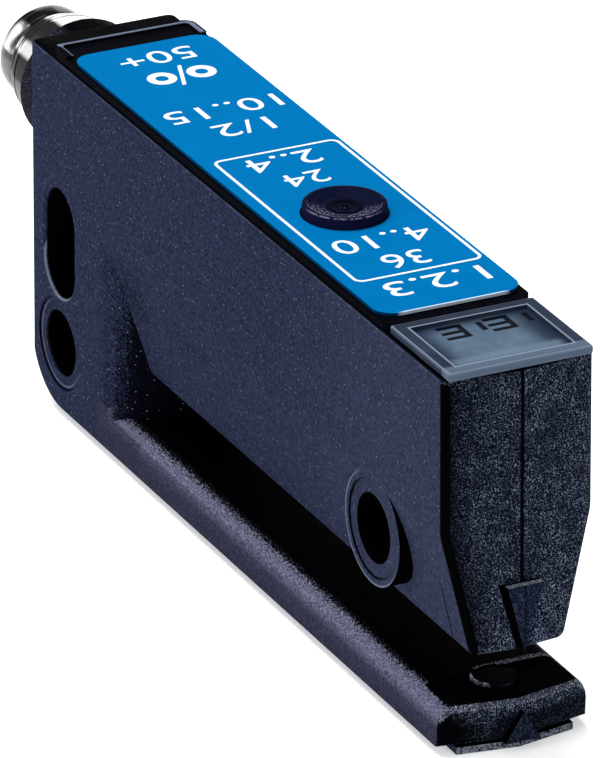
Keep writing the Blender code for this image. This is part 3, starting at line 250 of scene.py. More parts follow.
def finish_piece(obj, material, slot, *replaced):
    """Gives a new piece its material and hides the CAD nodes that it replaces; the slot argument is
    not used.
    """
    obj.data.materials.clear()
    obj.data.materials.append(material)
    if replaced:
        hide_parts(*replaced)
    return obj


def mesh_object(name, vertices, faces, body="sensor"):
    mesh = bpy.data.meshes.new(name)
    mesh.from_pydata([tuple(vertex) for vertex in vertices], [], faces)
    mesh.validate()
    return link(bpy.data.objects.new(name, mesh), body)


def smooth_copy(node, name, body="sensor"):
    """A welded copy of a CAD node whose curved faces shade smoothly."""
    mesh = NODES[node].data.copy()
    mesh.name = name
    shape = bmesh.new()
    shape.from_mesh(mesh)
    bmesh.ops.remove_doubles(shape, verts=shape.verts, dist=WELD)
    bmesh.ops.dissolve_limit(
        shape, angle_limit=FLAT_ANGLE, verts=shape.verts, edges=shape.edges
    )
    bmesh.ops.triangulate(shape, faces=shape.faces, quad_method="BEAUTY", ngon_method="BEAUTY")
    shape.to_mesh(mesh)
    shape.free()
    if mesh.has_custom_normals:
        mesh.attributes.remove(mesh.attributes["custom_normal"])
    mesh.shade_smooth()
    mesh.set_sharp_from_angle(angle=SMOOTH_ANGLE)
    return link(bpy.data.objects.new(name, mesh), body)


def lathe(name, profile, origin, axis, steps, body="sensor"):
    """Turns (radius, distance along the axis) points about an axis, smooth by angle."""
    frame_of = {
        "X": (Vector((1, 0, 0)), Vector((0, 1, 0)), Vector((0, 0, 1))),
        "Z": (Vector((0, 0, 1)), Vector((1, 0, 0)), Vector((0, 1, 0))),
    }
    along, side, up = frame_of[axis]
    origin = Vector(origin)
    vertices = []
    rings = []
    for radius, distance in profile:
        centre = origin + along * distance
        if radius < WELD:
            rings.append([len(vertices)] * steps)
            vertices.append(centre)
            continue
        rings.append(list(range(len(vertices), len(vertices) + steps)))
        for step in range(steps):
            angle = math.tau * step / steps
            vertices.append(centre + (side * math.cos(angle) + up * math.sin(angle)) * radius)
    faces = []
    for ring, following in zip(rings, rings[1:]):
        for step in range(steps):
            after = (step + 1) % steps
            corners = [ring[step], ring[after], following[after], following[step]]
            faces.append(list(dict.fromkeys(corners)))
    obj = mesh_object(name, vertices, faces, body)
    shape = bmesh.new()
    shape.from_mesh(obj.data)
    bmesh.ops.remove_doubles(shape, verts=shape.verts, dist=WELD)
    bmesh.ops.recalc_face_normals(shape, faces=shape.faces)
    shape.to_mesh(obj.data)
    shape.free()
    obj.data.shade_smooth()
    obj.data.set_sharp_from_angle(angle=SMOOTH_ANGLE)
    return obj


# Procedural finishes


class Finish:
    """A material that is built up from a few procedural steps."""

    def __init__(self, name, colour, roughness, metallic=0.0, specular=0.5):
        self.material = bpy.data.materials.new(name)
        self.material.use_nodes = True
        self.tree = self.material.node_tree
        self.shader = self.tree.nodes["Principled BSDF"]
        self.shader.inputs["Base Color"].default_value = (*colour, 1.0)
        self.shader.inputs["Roughness"].default_value = roughness
        self.shader.inputs["Metallic"].default_value = metallic
        self.shader.inputs["Specular IOR Level"].default_value = specular
        self.place = self.tree.nodes.new("ShaderNodeTexCoord").outputs["Object"]

    def node(self, kind, **inputs):
        made = self.tree.nodes.new(kind)
        for name, value in inputs.items():
            self.feed(value, made.inputs[name.replace("_", " ")])
        return made

    def feed(self, value, socket):
        if isinstance(value, bpy.types.NodeSocket):
            self.tree.links.new(value, socket)
        elif isinstance(value, (tuple, list)) and socket.type == "RGBA":
            socket.default_value = (*value, 1.0)
        else:
            socket.default_value = value

    def at(self, name):
        """One coordinate of the place on the part."""
        return self.node("ShaderNodeSeparateXYZ", Vector=self.place).outputs[name]

    def away(self, name, middle):
        return self.math("SUBTRACT", self.at(name), middle)

    def across(self):
        """The distance from the part's middle plane."""
        return self.math("ABSOLUTE", self.at("Y"))

    def facing(self, name):
        """One coordinate of the surface normal."""
        normal = self.tree.nodes.new("ShaderNodeNewGeometry").outputs["Normal"]
        return self.node("ShaderNodeSeparateXYZ", Vector=normal).outputs[name]

    def noise(self, size, detail=2.0, roughness=0.5):
        """Soft noise whose lumps are about the given size."""
        made = self.node("ShaderNodeTexNoise", Vector=self.place, Scale=1.0 / size)
        made.inputs["Detail"].default_value = detail
        made.inputs["Roughness"].default_value = roughness
        return made.outputs["Fac"]

    def specks(self, spacing, size, share):
        """Small round specks: one in each chosen cell, sized as a part of the spacing."""
        made = self.node("ShaderNodeTexVoronoi", Vector=self.place, Scale=1.0 / spacing)
        chance = self.node("ShaderNodeSeparateColor", Color=made.outputs["Color"]).outputs["Red"]
        spot = self.between(made.outputs["Distance"], size * 1.3, size * 0.8)
        return self.product(spot, self.between(chance, 1.0 - share, 1.05 - share))

    def math(self, operation, first, second=0.0):
        made = self.tree.nodes.new("ShaderNodeMath")
        made.operation = operation
        self.feed(first, made.inputs[0])
        self.feed(second, made.inputs[1])
        if operation == "WRAP":
            made.inputs[2].default_value = 0.0
        return made.outputs[0]

    def product(self, *factors):
        return functools.reduce(lambda first, second: self.math("MULTIPLY", first, second), factors)

    def most(self, *values):
        return functools.reduce(lambda first, second: self.math("MAXIMUM", first, second), values)

    def reach(self, first, second):
        """The distance that two offsets at a right angle give."""
        squares = self.math("ADD", self.math("POWER", first, 2.0), self.math("POWER", second, 2.0))
        return self.math("SQRT", squares)

    def between(self, value, low, high, start=0.0, end=1.0):
        """Goes softly from start to end as the value goes from low to high, or from high to low."""
        made = self.tree.nodes.new("ShaderNodeMapRange")
        made.interpolation_type = "SMOOTHSTEP"
        names = ("Value", "From Min", "From Max", "To Min", "To Max")
        for name, given in zip(names, (value, low, high, start, end)):
            self.feed(given, made.inputs[name])
        return made.outputs["Result"]

    def opposite(self, mask):
        return self.between(mask, 1.0, 0.0)

    def band(self, value, outer_low, inner_low, inner_high, outer_high):
        """One from inner low to inner high, and zero past the outer limits."""
        rise = self.between(value, outer_low, inner_low)
        return self.product(rise, self.between(value, outer_high, inner_high))

    def line(self, value, middle, outer, inner):
        """One within inner of the middle, and zero past outer."""
        off = self.math("ABSOLUTE", self.math("SUBTRACT", value, middle))
        return self.between(off, outer, inner)

    def blend(self, factor, first, second):
        return self.node("ShaderNodeMix", Factor=factor, A=first, B=second).outputs["Result"]

    def mix(self, factor, first, second):
        made = self.tree.nodes.new("ShaderNodeMix")
        made.data_type = "RGBA"
        self.feed(factor, made.inputs["Factor"])
        self.feed(first, made.inputs["A"])
        self.feed(second, made.inputs["B"])
        return made.outputs["Result"]

    def layers(self, colour, *layers):
        """Lays (mask, colour) pairs over a first colour, one after another."""
        for mask, tone in layers:
            colour = self.mix(mask, colour, tone)
        return colour

    def rounded(self, radius):
        """The surface normal with its sharp edges rounded."""
        made = self.tree.nodes.new("ShaderNodeBevel")
        made.samples = 6
        made.inputs["Radius"].default_value = radius
        return made.outputs["Normal"]

    def bump(self, height, depth, normal=None):
        made = self.node("ShaderNodeBump", Height=height, Strength=1.0, Distance=depth)
        if normal is not None:
            self.feed(normal, made.inputs["Normal"])
        return made.outputs["Normal"]

    def set(self, **sockets):
        for name, value in sockets.items():
            self.feed(value, self.shader.inputs[name.replace("_", " ")])
        return self.material


def hole_mask(finish, x, low_z, high_z):
    """One inside a hole or slot through the housing, and zero on its faces."""
    below = finish.math("SUBTRACT", low_z, finish.at("Z"))
    away_z = finish.most(below, finish.away("Z", high_z), 0.0)
    distance = finish.reach(finish.away("X", x), away_z)
    within = finish.between(distance, HOLE_RADIUS + 0.12 * MM, HOLE_RADIUS + 0.04 * MM)
    deep = finish.between(finish.across(), HALF_WIDTH - 0.1 * MM, HALF_WIDTH - 0.3 * MM)
    return finish.product(within, deep)


def all_holes(finish):
    rear = hole_mask(finish, REAR_HOLE_X, REAR_HOLE_Z, REAR_HOLE_Z)
    slot = hole_mask(finish, REAR_HOLE_X, SLOT_LOW_Z, SLOT_LOW_Z + SLOT_TRAVEL)
    front = hole_mask(finish, FRONT_HOLE_X, FRONT_HOLE_Z, FRONT_HOLE_Z)
    return finish.most(rear, slot, front)


def side_colour(finish, glint_specks, cloud):
    """The fine-grained sides, a little lighter towards the front, mottled, with pale specks that
    are painted glints.
    """
    towards_front = finish.between(finish.at("X"), LIGHTER_FROM_X, LIGHTER_TO_X)
    mottle = finish.between(finish.noise(0.24 * MM, 3.0, 0.7), 0.40, 0.60)
    tone = finish.math("ADD", finish.product(mottle, 0.65), finish.product(cloud, 0.4))
    rear = finish.mix(tone, (0.0070, 0.0098, 0.0225), (0.0275, 0.0350, 0.0760))
    front = finish.mix(tone, (0.0150, 0.0190, 0.0370), (0.0400, 0.0480, 0.0940))
    return finish.layers(rear, (towards_front, front), (glint_specks, (0.190, 0.205, 0.270)))


def mark_shade(finish):
    """The painted shadow: a black band beside the near flank of the jaw's raised mark."""
    height = finish.at("Z")
    top_z = JAW_BOTTOM_Z + JAW_MARK_HEIGHT
    edge = finish.node(
        "ShaderNodeMapRange", Value=height, From_Min=JAW_BOTTOM_Z, From_Max=top_z, To_Min=0.0,
        To_Max=-MARK_HALF_WIDTH,
    )
    past = finish.math("SUBTRACT", edge.outputs["Result"], finish.at("Y"))
    beside = finish.band(past, -0.10 * MM, -0.04 * MM, 0.24 * MM, 0.34 * MM)
    within = finish.band(
        height, JAW_BOTTOM_Z - 0.1 * MM, JAW_BOTTOM_Z, top_z - 0.05 * MM, top_z + 0.05 * MM
    )
    return finish.product(beside, within)


def front_colour(finish):
    """The spark-eroded front: nearly black with dense pale crumbs painted as glints, brighter
    towards the far half and the top as painted light, with painted highlights on its lit edges,
    painted shade by the marks and the near edge, and the seam at the middle.
    """
    height = finish.at("Z")
    amount = finish.between(finish.noise(0.10 * MM, 4.0, 0.75), 0.53, 0.62)
    # The crumbs are painted glints, brighter towards the far half and the top as painted light.
    bright = finish.product(
        finish.between(finish.noise(0.9 * MM, 3.0), 0.35, 0.65, 0.40, 0.95),
        finish.between(finish.at("Y"), -3.0 * MM, 3.0 * MM, 0.80, 1.0),
        finish.between(height, FRONT_HOLE_Z, JAW_BOTTOM_Z, 0.88, 1.40),
    )
    crumb_glints = finish.mix(
        finish.product(amount, bright), (0.0026, 0.0045, 0.0120), (0.300, 0.360, 0.500)
    )
    # Painted shade on the near rounded edge, and a painted highlight on the lit lower edge.
    near_edge = finish.between(finish.facing("Y"), -0.12, -0.26)
    low = finish.between(height, ARM_TOP_Z + 0.1 * MM, ARM_TOP_Z)
    lit = finish.product(finish.between(finish.facing("Z"), 0.16, 0.36), low)
    painted_highlight = finish.mix(amount, (0.030, 0.035, 0.060), (0.46, 0.50, 0.60))
    # A painted highlight along the top edge.
    at_top = finish.between(height, TOP_Z - 0.35 * MM, TOP_Z - 0.1 * MM)
    # Painted shade beside the arm's mark.
    beside_mark = finish.product(
        finish.between(finish.at("Y"), -2.3 * MM, -1.3 * MM),
        finish.between(height, TIP_TOP_Z, TIP_TOP_Z - 0.6 * MM),
    )
    seam = finish.product(
        finish.between(finish.across(), 0.17 * MM, 0.08 * MM), finish.opposite(low)
    )
    return finish.layers(
        crumb_glints,
        (near_edge, (0.0008, 0.0008, 0.0016)),
        (lit, painted_highlight),
        (finish.product(at_top, amount), (0.16, 0.17, 0.22)),
        (mark_shade(finish), SHADE_BLACK),
        (finish.product(beside_mark, 0.85), SHADE_NEARLY_BLACK),
        (seam, (0.001, 0.001, 0.0015)),
    )


def mark_colour(finish):
    """The raised marks: a smooth dark face, black flanks in painted shade and a painted highlight
    on the upper edge.
    """
    face = finish.between(finish.facing("X"), 0.5, 0.9)
    upper = finish.between(finish.facing("Z"), 0.7, 0.9)
    crumbs = finish.between(finish.noise(0.14 * MM, 3.0), 0.46, 0.66)
    smooth = finish.mix(crumbs, (0.0050, 0.0075, 0.0190), (0.0280, 0.0360, 0.0640))
    middle = finish.between(finish.across(), 0.09 * MM, 0.03 * MM)
    smooth = finish.mix(finish.product(middle, 0.6), smooth, FINE_LINE)
    # Painted highlight on the upper edge.
    edge = finish.mix(crumbs, (0.12, 0.15, 0.19), (0.32, 0.36, 0.42))
    return finish.layers(SHADE_BLACK, (face, smooth), (upper, edge))


def arm_colour(finish, glint_specks):
    """The arm: black on top as painted shade, a painted highlight on its round shoulders and darker
    down its sides.
    """
    upward = finish.facing("Z")
    crumbs = finish.noise(0.13 * MM, 4.0, 0.8)
    ragged = finish.math("ADD", upward, finish.between(crumbs, 0.35, 0.65, 0.12, -0.12))
    shoulder = finish.between(ragged, 0.86, 0.74)
    lower = finish.between(upward, -0.05, 0.50)
    grains = finish.between(crumbs, 0.40, 0.66)
    side = finish.mix(grains, (0.0160, 0.0165, 0.0340), (0.0400, 0.0410, 0.0760))
    side = finish.mix(glint_specks, side, (0.08, 0.08, 0.12))
    # Painted highlight on the round shoulders, where they face the light overhead.
    painted_highlight = finish.mix(grains, (0.050, 0.053, 0.095), (0.240, 0.245, 0.350))
    colour = finish.mix(shoulder, DEEP_SHADE_BLACK, finish.mix(lower, side, painted_highlight))
    # A painted highlight along the edge of the step behind the tip.
    step_highlight = finish.product(
        finish.band(
            finish.at("X"), TIP_X - 0.60 * MM, TIP_X - 0.30 * MM, TIP_X - 0.02 * MM,
            TIP_X + 0.02 * MM,
        ),
        finish.between(finish.at("Y"), -1.0 * MM, -0.5 * MM),
        finish.between(crumbs, 0.49, 0.55),
        finish.between(finish.at("Z"), TIP_TOP_Z, TIP_TOP_Z + 0.2 * MM),
    )
    return finish.mix(step_highlight, colour, (0.30, 0.32, 0.40))


def boss_colour(finish, colour):
    """Thin painted highlights and painted shadow lines on the rims of the boss, of both holes'
    rings and of the slot.
    """
    # lit is a painted highlight and dark a painted shadow, both on the lower left of each rim.
    lit = (0.16, 0.18, 0.25)
    dark = (0.001, 0.001, 0.003)
    outside = finish.between(finish.across(), HALF_WIDTH - 0.2 * MM, HALF_WIDTH - 0.15 * MM)
    for x, z, radius, amount, tone in (
        (FRONT_HOLE_X, FRONT_HOLE_Z, BOSS_RADIUS - 0.05 * MM, 0.8, lit),
        (FRONT_HOLE_X, FRONT_HOLE_Z, RING_RADIUS, 0.75, dark),
        (REAR_HOLE_X, REAR_HOLE_Z, RING_RADIUS - 0.05 * MM, 0.9, dark),
        (REAR_HOLE_X, REAR_HOLE_Z, RING_RADIUS - 0.26 * MM, 0.5, lit),
        (REAR_HOLE_X, SLOT_LOW_Z, HOLE_RADIUS + 0.08 * MM, 0.8, lit),
    ):
        away_x = finish.away("X", x)
        away_z = finish.away("Z", z)
        rim = finish.line(finish.reach(away_x, away_z), radius, 0.10 * MM, 0.03 * MM)
        lower_left = finish.between(finish.math("ADD", away_x, away_z), 0.8 * radius, -0.6 * radius)
        colour = finish.mix(finish.product(rim, outside, lower_left, amount), colour, tone)
    return colour


def facet_line(finish):
    """The thin dark upright line on the jaw's taper near its front."""
    upright = finish.line(finish.at("X"), FRONT_X - FACET_INSET, 0.11 * MM, 0.05 * MM)
    within = finish.band(
        finish.at("Z"), JAW_BOTTOM_Z - 0.1 * MM, JAW_BOTTOM_Z + 0.1 * MM, FACET_TOP_Z - 0.9 * MM,
        FACET_TOP_Z,
    )
    return finish.product(upright, within)


def strip_front_highlight(finish):
    """A painted highlight, broken by noise, on the front end of the strip under the arm."""
    return finish.product(
        finish.between(finish.facing("X"), 0.4, 0.7),
        finish.between(finish.at("Z"), BASE_Z + 0.01 * MM, BASE_Z - 0.02 * MM),
        finish.between(finish.noise(0.16 * MM, 3.0, 0.7), 0.40, 0.58),
    )


def lens_arc_highlight(finish):
    """A painted highlight, broken by noise, on the near arc of the seat round the lens in the arm.
    """
    away_x = finish.away("X", FRONT_X - LENS_INSET)
    away_y = finish.at("Y")
    return finish.product(
        finish.line(finish.reach(away_x, away_y), LENS_ARC_RADIUS, 0.10 * MM, 0.03 * MM),
        finish.between(away_y, -0.80 * MM, -1.10 * MM),
        finish.between(away_x, -0.80 * MM, -0.45 * MM),
        finish.band(
            finish.at("Z"), TIP_TOP_Z, TIP_TOP_Z + 0.1 * MM, ARM_TOP_Z + 0.05 * MM,
            ARM_TOP_Z + 0.1 * MM,
        ),
        finish.between(finish.noise(0.16 * MM, 3.0, 0.7), 0.46, 0.54),
    )


def collar_colour(finish):
    """The collar behind the housing: nearly black with a few paler grains."""
    grains = finish.between(finish.noise(0.13 * MM, 3.0, 0.7), 0.46, 0.62)
    return finish.mix(grains, (0.0040, 0.0042, 0.0085), (0.040, 0.041, 0.060))


def root_grain_and_shade(finish):
    """The dark grain, partly painted shade under the jaw, that spreads from the side onto the half
    round below the jaw.
    """
    grains = finish.between(finish.noise(0.13 * MM, 3.0, 0.7), 0.35, 0.65, -0.3, 0.3)
    turned = finish.between(finish.math("ADD", finish.facing("X"), grains), 0.16, 0.42)
    behind_jaw = finish.band(
        finish.at("X"), ROOT_AXIS_X - 0.2 * MM, ROOT_AXIS_X + 0.2 * MM, ROOT_X + 0.5 * MM,
        ROOT_X + 1.0 * MM,
    )
    below_jaw = finish.between(finish.at("Z"), ROOT_SHADE_Z + 2.0 * MM, ROOT_SHADE_Z)
    return finish.product(turned, behind_jaw, below_jaw)


def wall_edge_highlight(finish, cloud):
    """The thin painted highlight along the top of the side walls."""
    return finish.product(
        finish.between(finish.at("Z"), TOP_Z - 0.13 * MM, TOP_Z - 0.08 * MM),
        finish.between(finish.across(), HALF_WIDTH - 0.06 * MM, HALF_WIDTH - 0.03 * MM),
        finish.between(cloud, 0.35, 0.60, 0.4, 1.0),
    )


def mark_flanks(finish):
    """The sides of the raised marks, which face across and are painted deep black as shade."""
    sideward = finish.math("ABSOLUTE", finish.facing("Y"))
    return finish.product(
        finish.between(finish.at("X"), FRONT_X + 0.02 * MM, FRONT_X + 0.06 * MM),
        finish.between(finish.facing("X"), 0.35, 0.20),
        finish.between(sideward, 0.5, 0.7),
    )


def housing_finish():
    """Moulded black plastic: fine grain on the sides, spark-eroded grain on front, root and arm,
    with painted shade, highlights and glints in its colour.
    """
    finish = Finish("housing_plastic", (0.016, 0.019, 0.045), 0.6, specular=0.004)
    along = finish.at("X")
    height = finish.at("Z")
    forward = finish.between(finish.facing("X"), 0.22, 0.36)
    at_front = finish.between(along, FRONT_X - 1.6 * MM, FRONT_X - 1.2 * MM)
    front = finish.product(forward, at_front)
    inner_face = finish.product(forward, finish.opposite(at_front))
    root = finish.product(inner_face, finish.between(along, ROOT_X + 1.0 * MM, ROOT_X))
    arm = finish.product(
        finish.between(height, ARM_TOP_Z + 0.12 * MM, ARM_TOP_Z + 0.06 * MM),
        finish.between(along, ROOT_AXIS_X - 0.6 * MM, ROOT_AXIS_X + 0.2 * MM),
    )
    top = finish.product(
        finish.between(finish.facing("Z"), 0.90, 0.97),
        finish.between(height, ARM_TOP_Z, ARM_TOP_Z + 1.0 * MM),
    )
    # Painted shade: black in the holes, on inner faces that face the front and on flat faces that
    # face up above the arm.
    black = finish.most(finish.product(inner_face, finish.opposite(root)), all_holes(finish), top)
    cloud = finish.noise(1.3 * MM, 2.0)
    # Pale specks painted as glints, shared by the sides, the arm and the root.
    glint_specks = finish.specks(0.27 * MM, 0.15, 0.35)
    colour = finish.mix(arm, side_colour(finish, glint_specks, cloud), arm_colour(finish, glint_specks))
    colour = finish.layers(
        boss_colour(finish, colour),
        (facet_line(finish), FINE_LINE),
        (finish.between(along, REAR_X - 0.02 * MM, REAR_X - 0.06 * MM), collar_colour(finish)),
        (front, front_colour(finish)),
        (black, (0.0008, 0.0008, 0.0014)),
        # Grain in painted shade below the jaw, with painted glints.
        (root_grain_and_shade(finish), finish.mix(glint_specks, SHADE_NEARLY_BLACK, (0.16, 0.17, 0.26))),
        (wall_edge_highlight(finish, cloud), (0.14, 0.15, 0.22)),
        (finish.between(along, FRONT_X + 0.58 * MM, FRONT_X + 0.62 * MM), mark_colour(finish)),
        (strip_front_highlight(finish), (0.20, 0.22, 0.27)),
        (lens_arc_highlight(finish), (0.60, 0.62, 0.78)),
        # Painted shade on the marks' flanks.
        (mark_flanks(finish), DEEP_SHADE_BLACK),
    )
    coarse = finish.most(front, arm)
    lumps = finish.mix(coarse, finish.noise(0.09 * MM, 3.0, 0.6), finish.noise(0.14 * MM, 3.0, 0.6))
    bump = finish.bump(lumps, 0.02 * MM, finish.rounded(0.06 * MM))
    rough = finish.between(cloud, 0.3, 0.7, 0.5, 0.62)
    return finish.set(Base_Color=colour, Roughness=rough, Normal=bump)


def cover_finish():
    """Smooth black plastic with a painted highlight along the inner edge of its rim."""
    finish = Finish("cover_plastic", (0.002, 0.002, 0.004), 0.3, specular=0.001)
    low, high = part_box("top_cover")
    along = finish.away("X", low.x)
    inward = finish.math("MINIMUM", along, finish.math("SUBTRACT", high.y, finish.across()))
    sideways = finish.between(along, RIM_WIDTH + 0.1 * MM, RIM_WIDTH + 0.3 * MM)
    far_side = finish.between(finish.at("Y"), 0.0, 1.0 * MM)
    shift = finish.between(far_side, 0.0, 1.0, 0.14 * MM, -0.10 * MM)
    inward = finish.math("SUBTRACT", inward, finish.product(sideways, shift))
    # Painted highlight along the rim.
    rim = finish.product(
        finish.between(inward, RIM_WIDTH - 0.26 * MM, RIM_WIDTH - 0.16 * MM),
        finish.between(finish.at("Z"), high.z - 0.06 * MM, high.z - 0.03 * MM),
    )
    cloud = finish.noise(0.9 * MM, 3.0)
    colour = finish.mix(cloud, (0.0012, 0.0013, 0.0022), (0.0030, 0.0034, 0.0060))
    colour = finish.mix(rim, colour, finish.mix(cloud, (0.10, 0.12, 0.18), (0.16, 0.19, 0.27)))
    bump = finish.bump(finish.noise(0.12 * MM), 0.003 * MM, finish.rounded(0.06 * MM))
    rough = finish.between(cloud, 0.3, 0.7, 0.22, 0.34)
    return finish.set(Base_Color=colour, Roughness=rough, Normal=bump)


def label_finish():
    """Printed blue film with a faint texture and a painted highlight along its front edge."""
    finish = Finish("label_film", (0.0, 0.16, 0.44), 0.45, specular=0.001)
    front_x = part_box("label_plate")[1].x
    across = finish.across()
    # Painted highlight on the front edge and along the front of the top.
    edge = finish.product(
        finish.between(finish.facing("X"), 0.6, 0.9), finish.between(across, 4.0 * MM, 3.2 * MM)
    )
    lip = finish.product(
        finish.between(finish.at("X"), front_x - 0.13 * MM, front_x - 0.07 * MM),
        finish.between(across, 3.8 * MM, 3.2 * MM),
    )
    sides = finish.between(finish.facing("Z"), 0.5, 0.2)
    cloud = finish.noise(2.5 * MM, 3.0)
    colour = finish.layers(
        finish.mix(cloud, (0.0, 0.128, 0.340), (0.0, 0.146, 0.385)),
        (finish.most(edge, lip), (0.62, 0.76, 0.90)),
        (finish.product(sides, finish.between(edge, 0.6, 0.1)), (0.0, 0.03, 0.09)),
    )
    bump = finish.bump(finish.noise(0.14 * MM, 2.0), 0.002 * MM, finish.rounded(0.03 * MM))
    rough = finish.between(finish.noise(0.3 * MM), 0.3, 0.7, 0.4, 0.5)
    return finish.set(Base_Color=colour, Roughness=rough, Normal=bump)


def print_finish():
    """White screen print, a little uneven."""
    finish = Finish("label_print", (0.80, 0.86, 0.92), 0.5, specular=0.3)
    cloud = finish.noise(0.25 * MM, 2.0)
    colour = finish.mix(cloud, (0.66, 0.76, 0.86), (0.86, 0.91, 0.95))
    return finish.set(Base_Color=colour, Normal=finish.bump(cloud, 0.002 * MM))


def button_wear_and_highlights(finish, away_x, distance):
    """Broken rings of painted highlight and scattered wear specks on the near half of the dish, and
    a fine painted highlight on the rim.
    """
    nearness = finish.math("SUBTRACT", away_x, finish.product(finish.at("Y"), 0.55))
    broken = finish.between(finish.noise(0.22 * MM, 3.0, 0.7), 0.42, 0.54)
    rings = finish.most(0.0, *(
        finish.product(finish.line(distance, radius * MM, wide * MM, wide * MM * 0.3), amount)
        for radius, wide, amount in BUTTON_RINGS
    ))
    scattered = finish.product(
        finish.between(finish.noise(0.13 * MM, 2.0, 0.6), 0.56, 0.64),
        finish.band(distance, 1.15 * MM, 1.35 * MM, 2.20 * MM, 2.40 * MM),
    )
    worn_and_lit = finish.most(finish.product(rings, broken), scattered)
    worn_and_lit = finish.product(worn_and_lit, finish.between(nearness, -0.4 * MM, 1.2 * MM))
    rim = finish.product(
        finish.line(distance, BUTTON_RIM_RADIUS, 0.06 * MM, 0.02 * MM),
        broken,
        finish.between(nearness, 0.9 * MM, 2.2 * MM, 0.0, 0.6),
    )
    return finish.most(worn_and_lit, rim)


def button_finish():
    """Dark blue-black plastic with a darker middle, and wear marks and painted highlights on its
    near half.
    """
    finish = Finish("button_plastic", (0.004, 0.004, 0.014), 0.3, specular=0.003)
    low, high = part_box("teach_button")
    away_x = finish.away("X", (low.x + high.x) / 2)
    distance = finish.reach(away_x, finish.at("Y"))
    upward = finish.between(finish.facing("Z"), 0.3, 0.6)
    middle = finish.between(distance, 1.35 * MM, 1.05 * MM)
    cloud = finish.noise(0.5 * MM, 2.0)
    dish = finish.mix(cloud, (0.0022, 0.0030, 0.0140), (0.0060, 0.0075, 0.0290))
    dish = finish.mix(middle, dish, (0.0010, 0.0014, 0.0075))
    side = finish.mix(cloud, (0.006, 0.006, 0.026), (0.011, 0.011, 0.044))
    worn_and_lit = finish.product(button_wear_and_highlights(finish, away_x, distance), upward)
    colour = finish.layers(side, (upward, dish), (worn_and_lit, (0.24, 0.26, 0.36)))
    grain = finish.noise(0.08 * MM, 2.0)
    bump = finish.bump(grain, 0.008 * MM, finish.rounded(0.05 * MM))
    rough = finish.between(grain, 0.3, 0.7, 0.24, 0.4)
    return finish.set(Base_Color=colour, Roughness=rough, Normal=bump)


def bar(finish, low, high, soft):
    """One inside a rectangle seen from above, with soft edges."""
    return finish.product(*(
        finish.band(finish.at(name), start - soft, start + soft, end - soft, end + soft)
        for name, start, end in (("X", low[0], high[0]), ("Y", low[1], high[1]))
    ))


def inset_bar(finish, box, inset, soft):
    """One inside a box seen from above, but for an edge of the given width."""
    low, high = box
    return bar(finish, (low.x + inset, low.y + inset), (high.x - inset, high.y - inset), soft)


def lamp_forms(finish):
    """The dark lead frames of the two lamps as they show through the window."""
    middle_x = FRONT_X - LAMP_INSET
    soft = 0.06 * MM
    forms = []
    for centre_y in LAMP_PLACES:
        right = centre_y + LAMP_REACH
        forms += [
            bar(finish, (x - LAMP_BAR, centre_y - LAMP_REACH), (x + LAMP_BAR, centre_y), soft)
            for x in (middle_x - 0.78 * MM, middle_x, middle_x + 0.72 * MM)
        ]
        spine_low = (middle_x - 0.95 * MM, centre_y - LAMP_BAR)
        spine_high = (middle_x + 0.90 * MM, centre_y + LAMP_BAR)
        forms.append(bar(finish, spine_low, spine_high, soft))
        post_low = (middle_x - 0.75 * MM, right - 2 * LAMP_BAR)
        forms.append(bar(finish, post_low, (middle_x + 0.45 * MM, right), soft))
    return finish.most(*forms)


def window_finish():
    """Smoke-blue clear plastic: a dark rim with painted highlights on its edges, and the lamps
    showing through.
    """
    finish = Finish("window_plastic", (0.05, 0.08, 0.12), 0.16, specular=0.006)
    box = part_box("indicator_window")
    low, high = box
    cloud = finish.noise(1.6 * MM, 3.0)
    patch = bar(finish, (low.x + 1.3 * MM, -3.0 * MM), (high.x - 1.6 * MM, 2.6 * MM), 0.9 * MM)
    front = bar(
        finish, (high.x - 2.2 * MM, -3.6 * MM), (high.x - 1.0 * MM, 3.6 * MM), 0.35 * MM
    )
    inner = finish.layers(
        finish.mix(cloud, (0.008, 0.013, 0.028), (0.024, 0.038, 0.066)),
        (patch, finish.mix(cloud, (0.030, 0.055, 0.095), (0.125, 0.185, 0.260))),
        (finish.product(front, 0.6), (0.14, 0.20, 0.27)),
        (lamp_forms(finish), (0.002, 0.003, 0.006)),
    )
    # Painted highlights on the rim's inner line and its rounded outer edge.
    outline = finish.math(
        "SUBTRACT",
        inset_bar(finish, box, WINDOW_RIM - 0.14 * MM, 0.03 * MM),
        inset_bar(finish, box, WINDOW_RIM - 0.02 * MM, 0.03 * MM),
    )
    edge = finish.product(
        finish.opposite(inset_bar(finish, box, 0.12 * MM, 0.03 * MM)),
        finish.between(finish.facing("Z"), 0.3, 0.5),
    )
    frontward = finish.between(finish.at("X"), high.x - 1.1 * MM, high.x - 0.8 * MM)
    colour = finish.layers(
        finish.mix(cloud, (0.010, 0.014, 0.030), (0.034, 0.047, 0.078)),
        (frontward, (0.082, 0.115, 0.165)),
        (inset_bar(finish, box, WINDOW_RIM, 0.04 * MM), inner),
        (finish.product(outline, 0.8), (0.22, 0.28, 0.37)),
        (finish.product(edge, 0.8), (0.19, 0.25, 0.34)),
    )
    bump = finish.bump(finish.noise(0.5 * MM), 0.003 * MM, finish.rounded(0.08 * MM))
    return finish.set(Base_Color=colour, Normal=bump)


def reflection_by_angle(finish, angle, stops):
    """A painted reflection tone that changes round the connector's axis: (degrees, tone) pairs,
    blended softly.
    """
    tone = stops[0][1]
    for degrees, value in stops[1:]:
        start, end = degrees - TONE_SOFTNESS, degrees + TONE_SOFTNESS
        turn = finish.between(angle, math.radians(start), math.radians(end))
        tone = finish.blend(turn, tone, value)
    return tone


